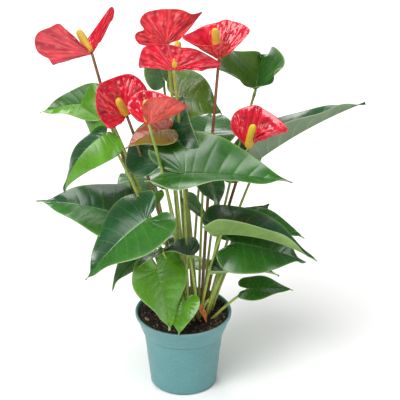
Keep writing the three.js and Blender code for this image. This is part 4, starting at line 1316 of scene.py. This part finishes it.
def add_aimed(scene, name, data, place):
    """Adds a light or a camera at a place, aimed at the plant."""
    thing = bpy.data.objects.new(name, data)
    thing.location = place
    thing.rotation_euler = (AIM - Vector(place)).to_track_quat("-Z", "Y").to_euler()
    scene.collection.objects.link(thing)
    return thing


class AnthuriumAddStage(bpy.types.Operator):
    """Builds the pale floor, the soft lights and the camera"""

    bl_idname = "anthurium.add_stage"
    bl_label = "Stage"

    def execute(self, context):
        settings = context.scene.anthurium_stage
        scene = context.scene
        scene.view_settings.view_transform = "Standard"
        self.add_floor(scene)
        world = bpy.data.worlds.new("studio")
        world.use_nodes = True
        background = world.node_tree.nodes["Background"]
        background.inputs["Color"].default_value = (1, 1, 1, 1)
        background.inputs["Strength"].default_value = settings.sky
        scene.world = world
        sun = bpy.data.lights.new("sun", "SUN")
        sun.energy = settings.sun
        sun.angle = math.radians(45)
        add_aimed(scene, "sun", sun, SUN_PLACE)
        self.add_light(scene, "key_light", (-1.5, -1.4, 1.7), 0.8, settings.key)
        self.add_light(scene, "fill_light", (1.8, -1.0, 1.3), 0.7, settings.fill)
        self.add_light(scene, "top_light", (0.2, 0.8, 2.2), 1.0, settings.fill * 1.5)
        self.add_light(scene, "back_light", (-0.6, 2.0, 1.5), 0.9, settings.back)
        camera = bpy.data.cameras.new("camera")
        camera.lens = settings.lens
        camera.sensor_width = 36
        back = Vector((0, -math.cos(settings.elevation), math.sin(settings.elevation)))
        scene.camera = add_aimed(scene, "camera", camera, AIM + back * settings.distance)
        return {"FINISHED"}

    @staticmethod
    def add_floor(scene):
        """A wide disc of pale, faintly uneven board."""
        mesh = bpy.data.meshes.new("floor")
        disc = bmesh.new()
        bmesh.ops.create_circle(disc, cap_ends=True, segments=96, radius=FLOOR_RADIUS)
        disc.to_mesh(mesh)
        disc.free()
        floor = bpy.data.objects.new("floor", mesh)
        floor.location.z = POT_LOW.z - FLOOR_DROP
        scene.collection.objects.link(floor)
        tree, shader = finishes(scene).start("floor", (3, 0.75, 0.85))
        blotch = finishes(scene).add_mottle(tree, 2, 0, 1)
        pale = add_mix(tree, blotch, (0.93, 0.93, 0.93, 1), (0.95, 0.95, 0.945, 1))
        tree.links.new(pale, shader.inputs["Base Color"])
        mesh.materials.append(finishes(scene).made["floor"])

    @staticmethod
    def add_light(scene, name, place, size, power):
        """A square softbox aimed at the plant."""
        data = bpy.data.lights.new(name, "AREA")
        data.size = size
        data.energy = power
        add_aimed(scene, name, data, place)


# ---------- add-on ----------

OPERATORS = (AnthuriumAddPot, AnthuriumAddSoil, AnthuriumAddCrown, AnthuriumAddSheaths, AnthuriumAddLeaves,
             AnthuriumAddFlowerStems, AnthuriumAddSpathes, AnthuriumAddSpadices, AnthuriumAddStage)
SETTINGS = {"anthurium_pot": AnthuriumPotSettings, "anthurium_soil": AnthuriumSoilSettings,
            "anthurium_leaves": AnthuriumLeafSettings, "anthurium_flowers": AnthuriumFlowerSettings,
            "anthurium_stage": AnthuriumStageSettings}


class ANTHURIUM_PT_panel(bpy.types.Panel):
    """Lists the pieces of the potted anthurium"""

    bl_label = "Potted Anthurium"
    bl_space_type = "VIEW_3D"
    bl_region_type = "UI"
    bl_category = "Anthurium"

    def draw(self, context):
        for operator in OPERATORS:
            self.layout.operator(operator.bl_idname)
        for name, settings in SETTINGS.items():
            box = self.layout.box()
            box.label(text=settings.__doc__)
            for key in settings.__annotations__:
                box.prop(getattr(context.scene, name), key)


def register():
    for made in (*SETTINGS.values(), *OPERATORS, ANTHURIUM_PT_panel):
        bpy.utils.register_class(made)
    for name, settings in SETTINGS.items():
        setattr(bpy.types.Scene, name, PointerProperty(type=settings))


def unregister():
    for name in SETTINGS:
        delattr(bpy.types.Scene, name)
    for made in (ANTHURIUM_PT_panel, *OPERATORS, *SETTINGS.values()):
        bpy.utils.unregister_class(made)


def main():
    register()
    for operator in OPERATORS:
        group, action = operator.bl_idname.split(".")
        getattr(getattr(bpy.ops, group), action)()


if __name__ == "__main__":
    main()
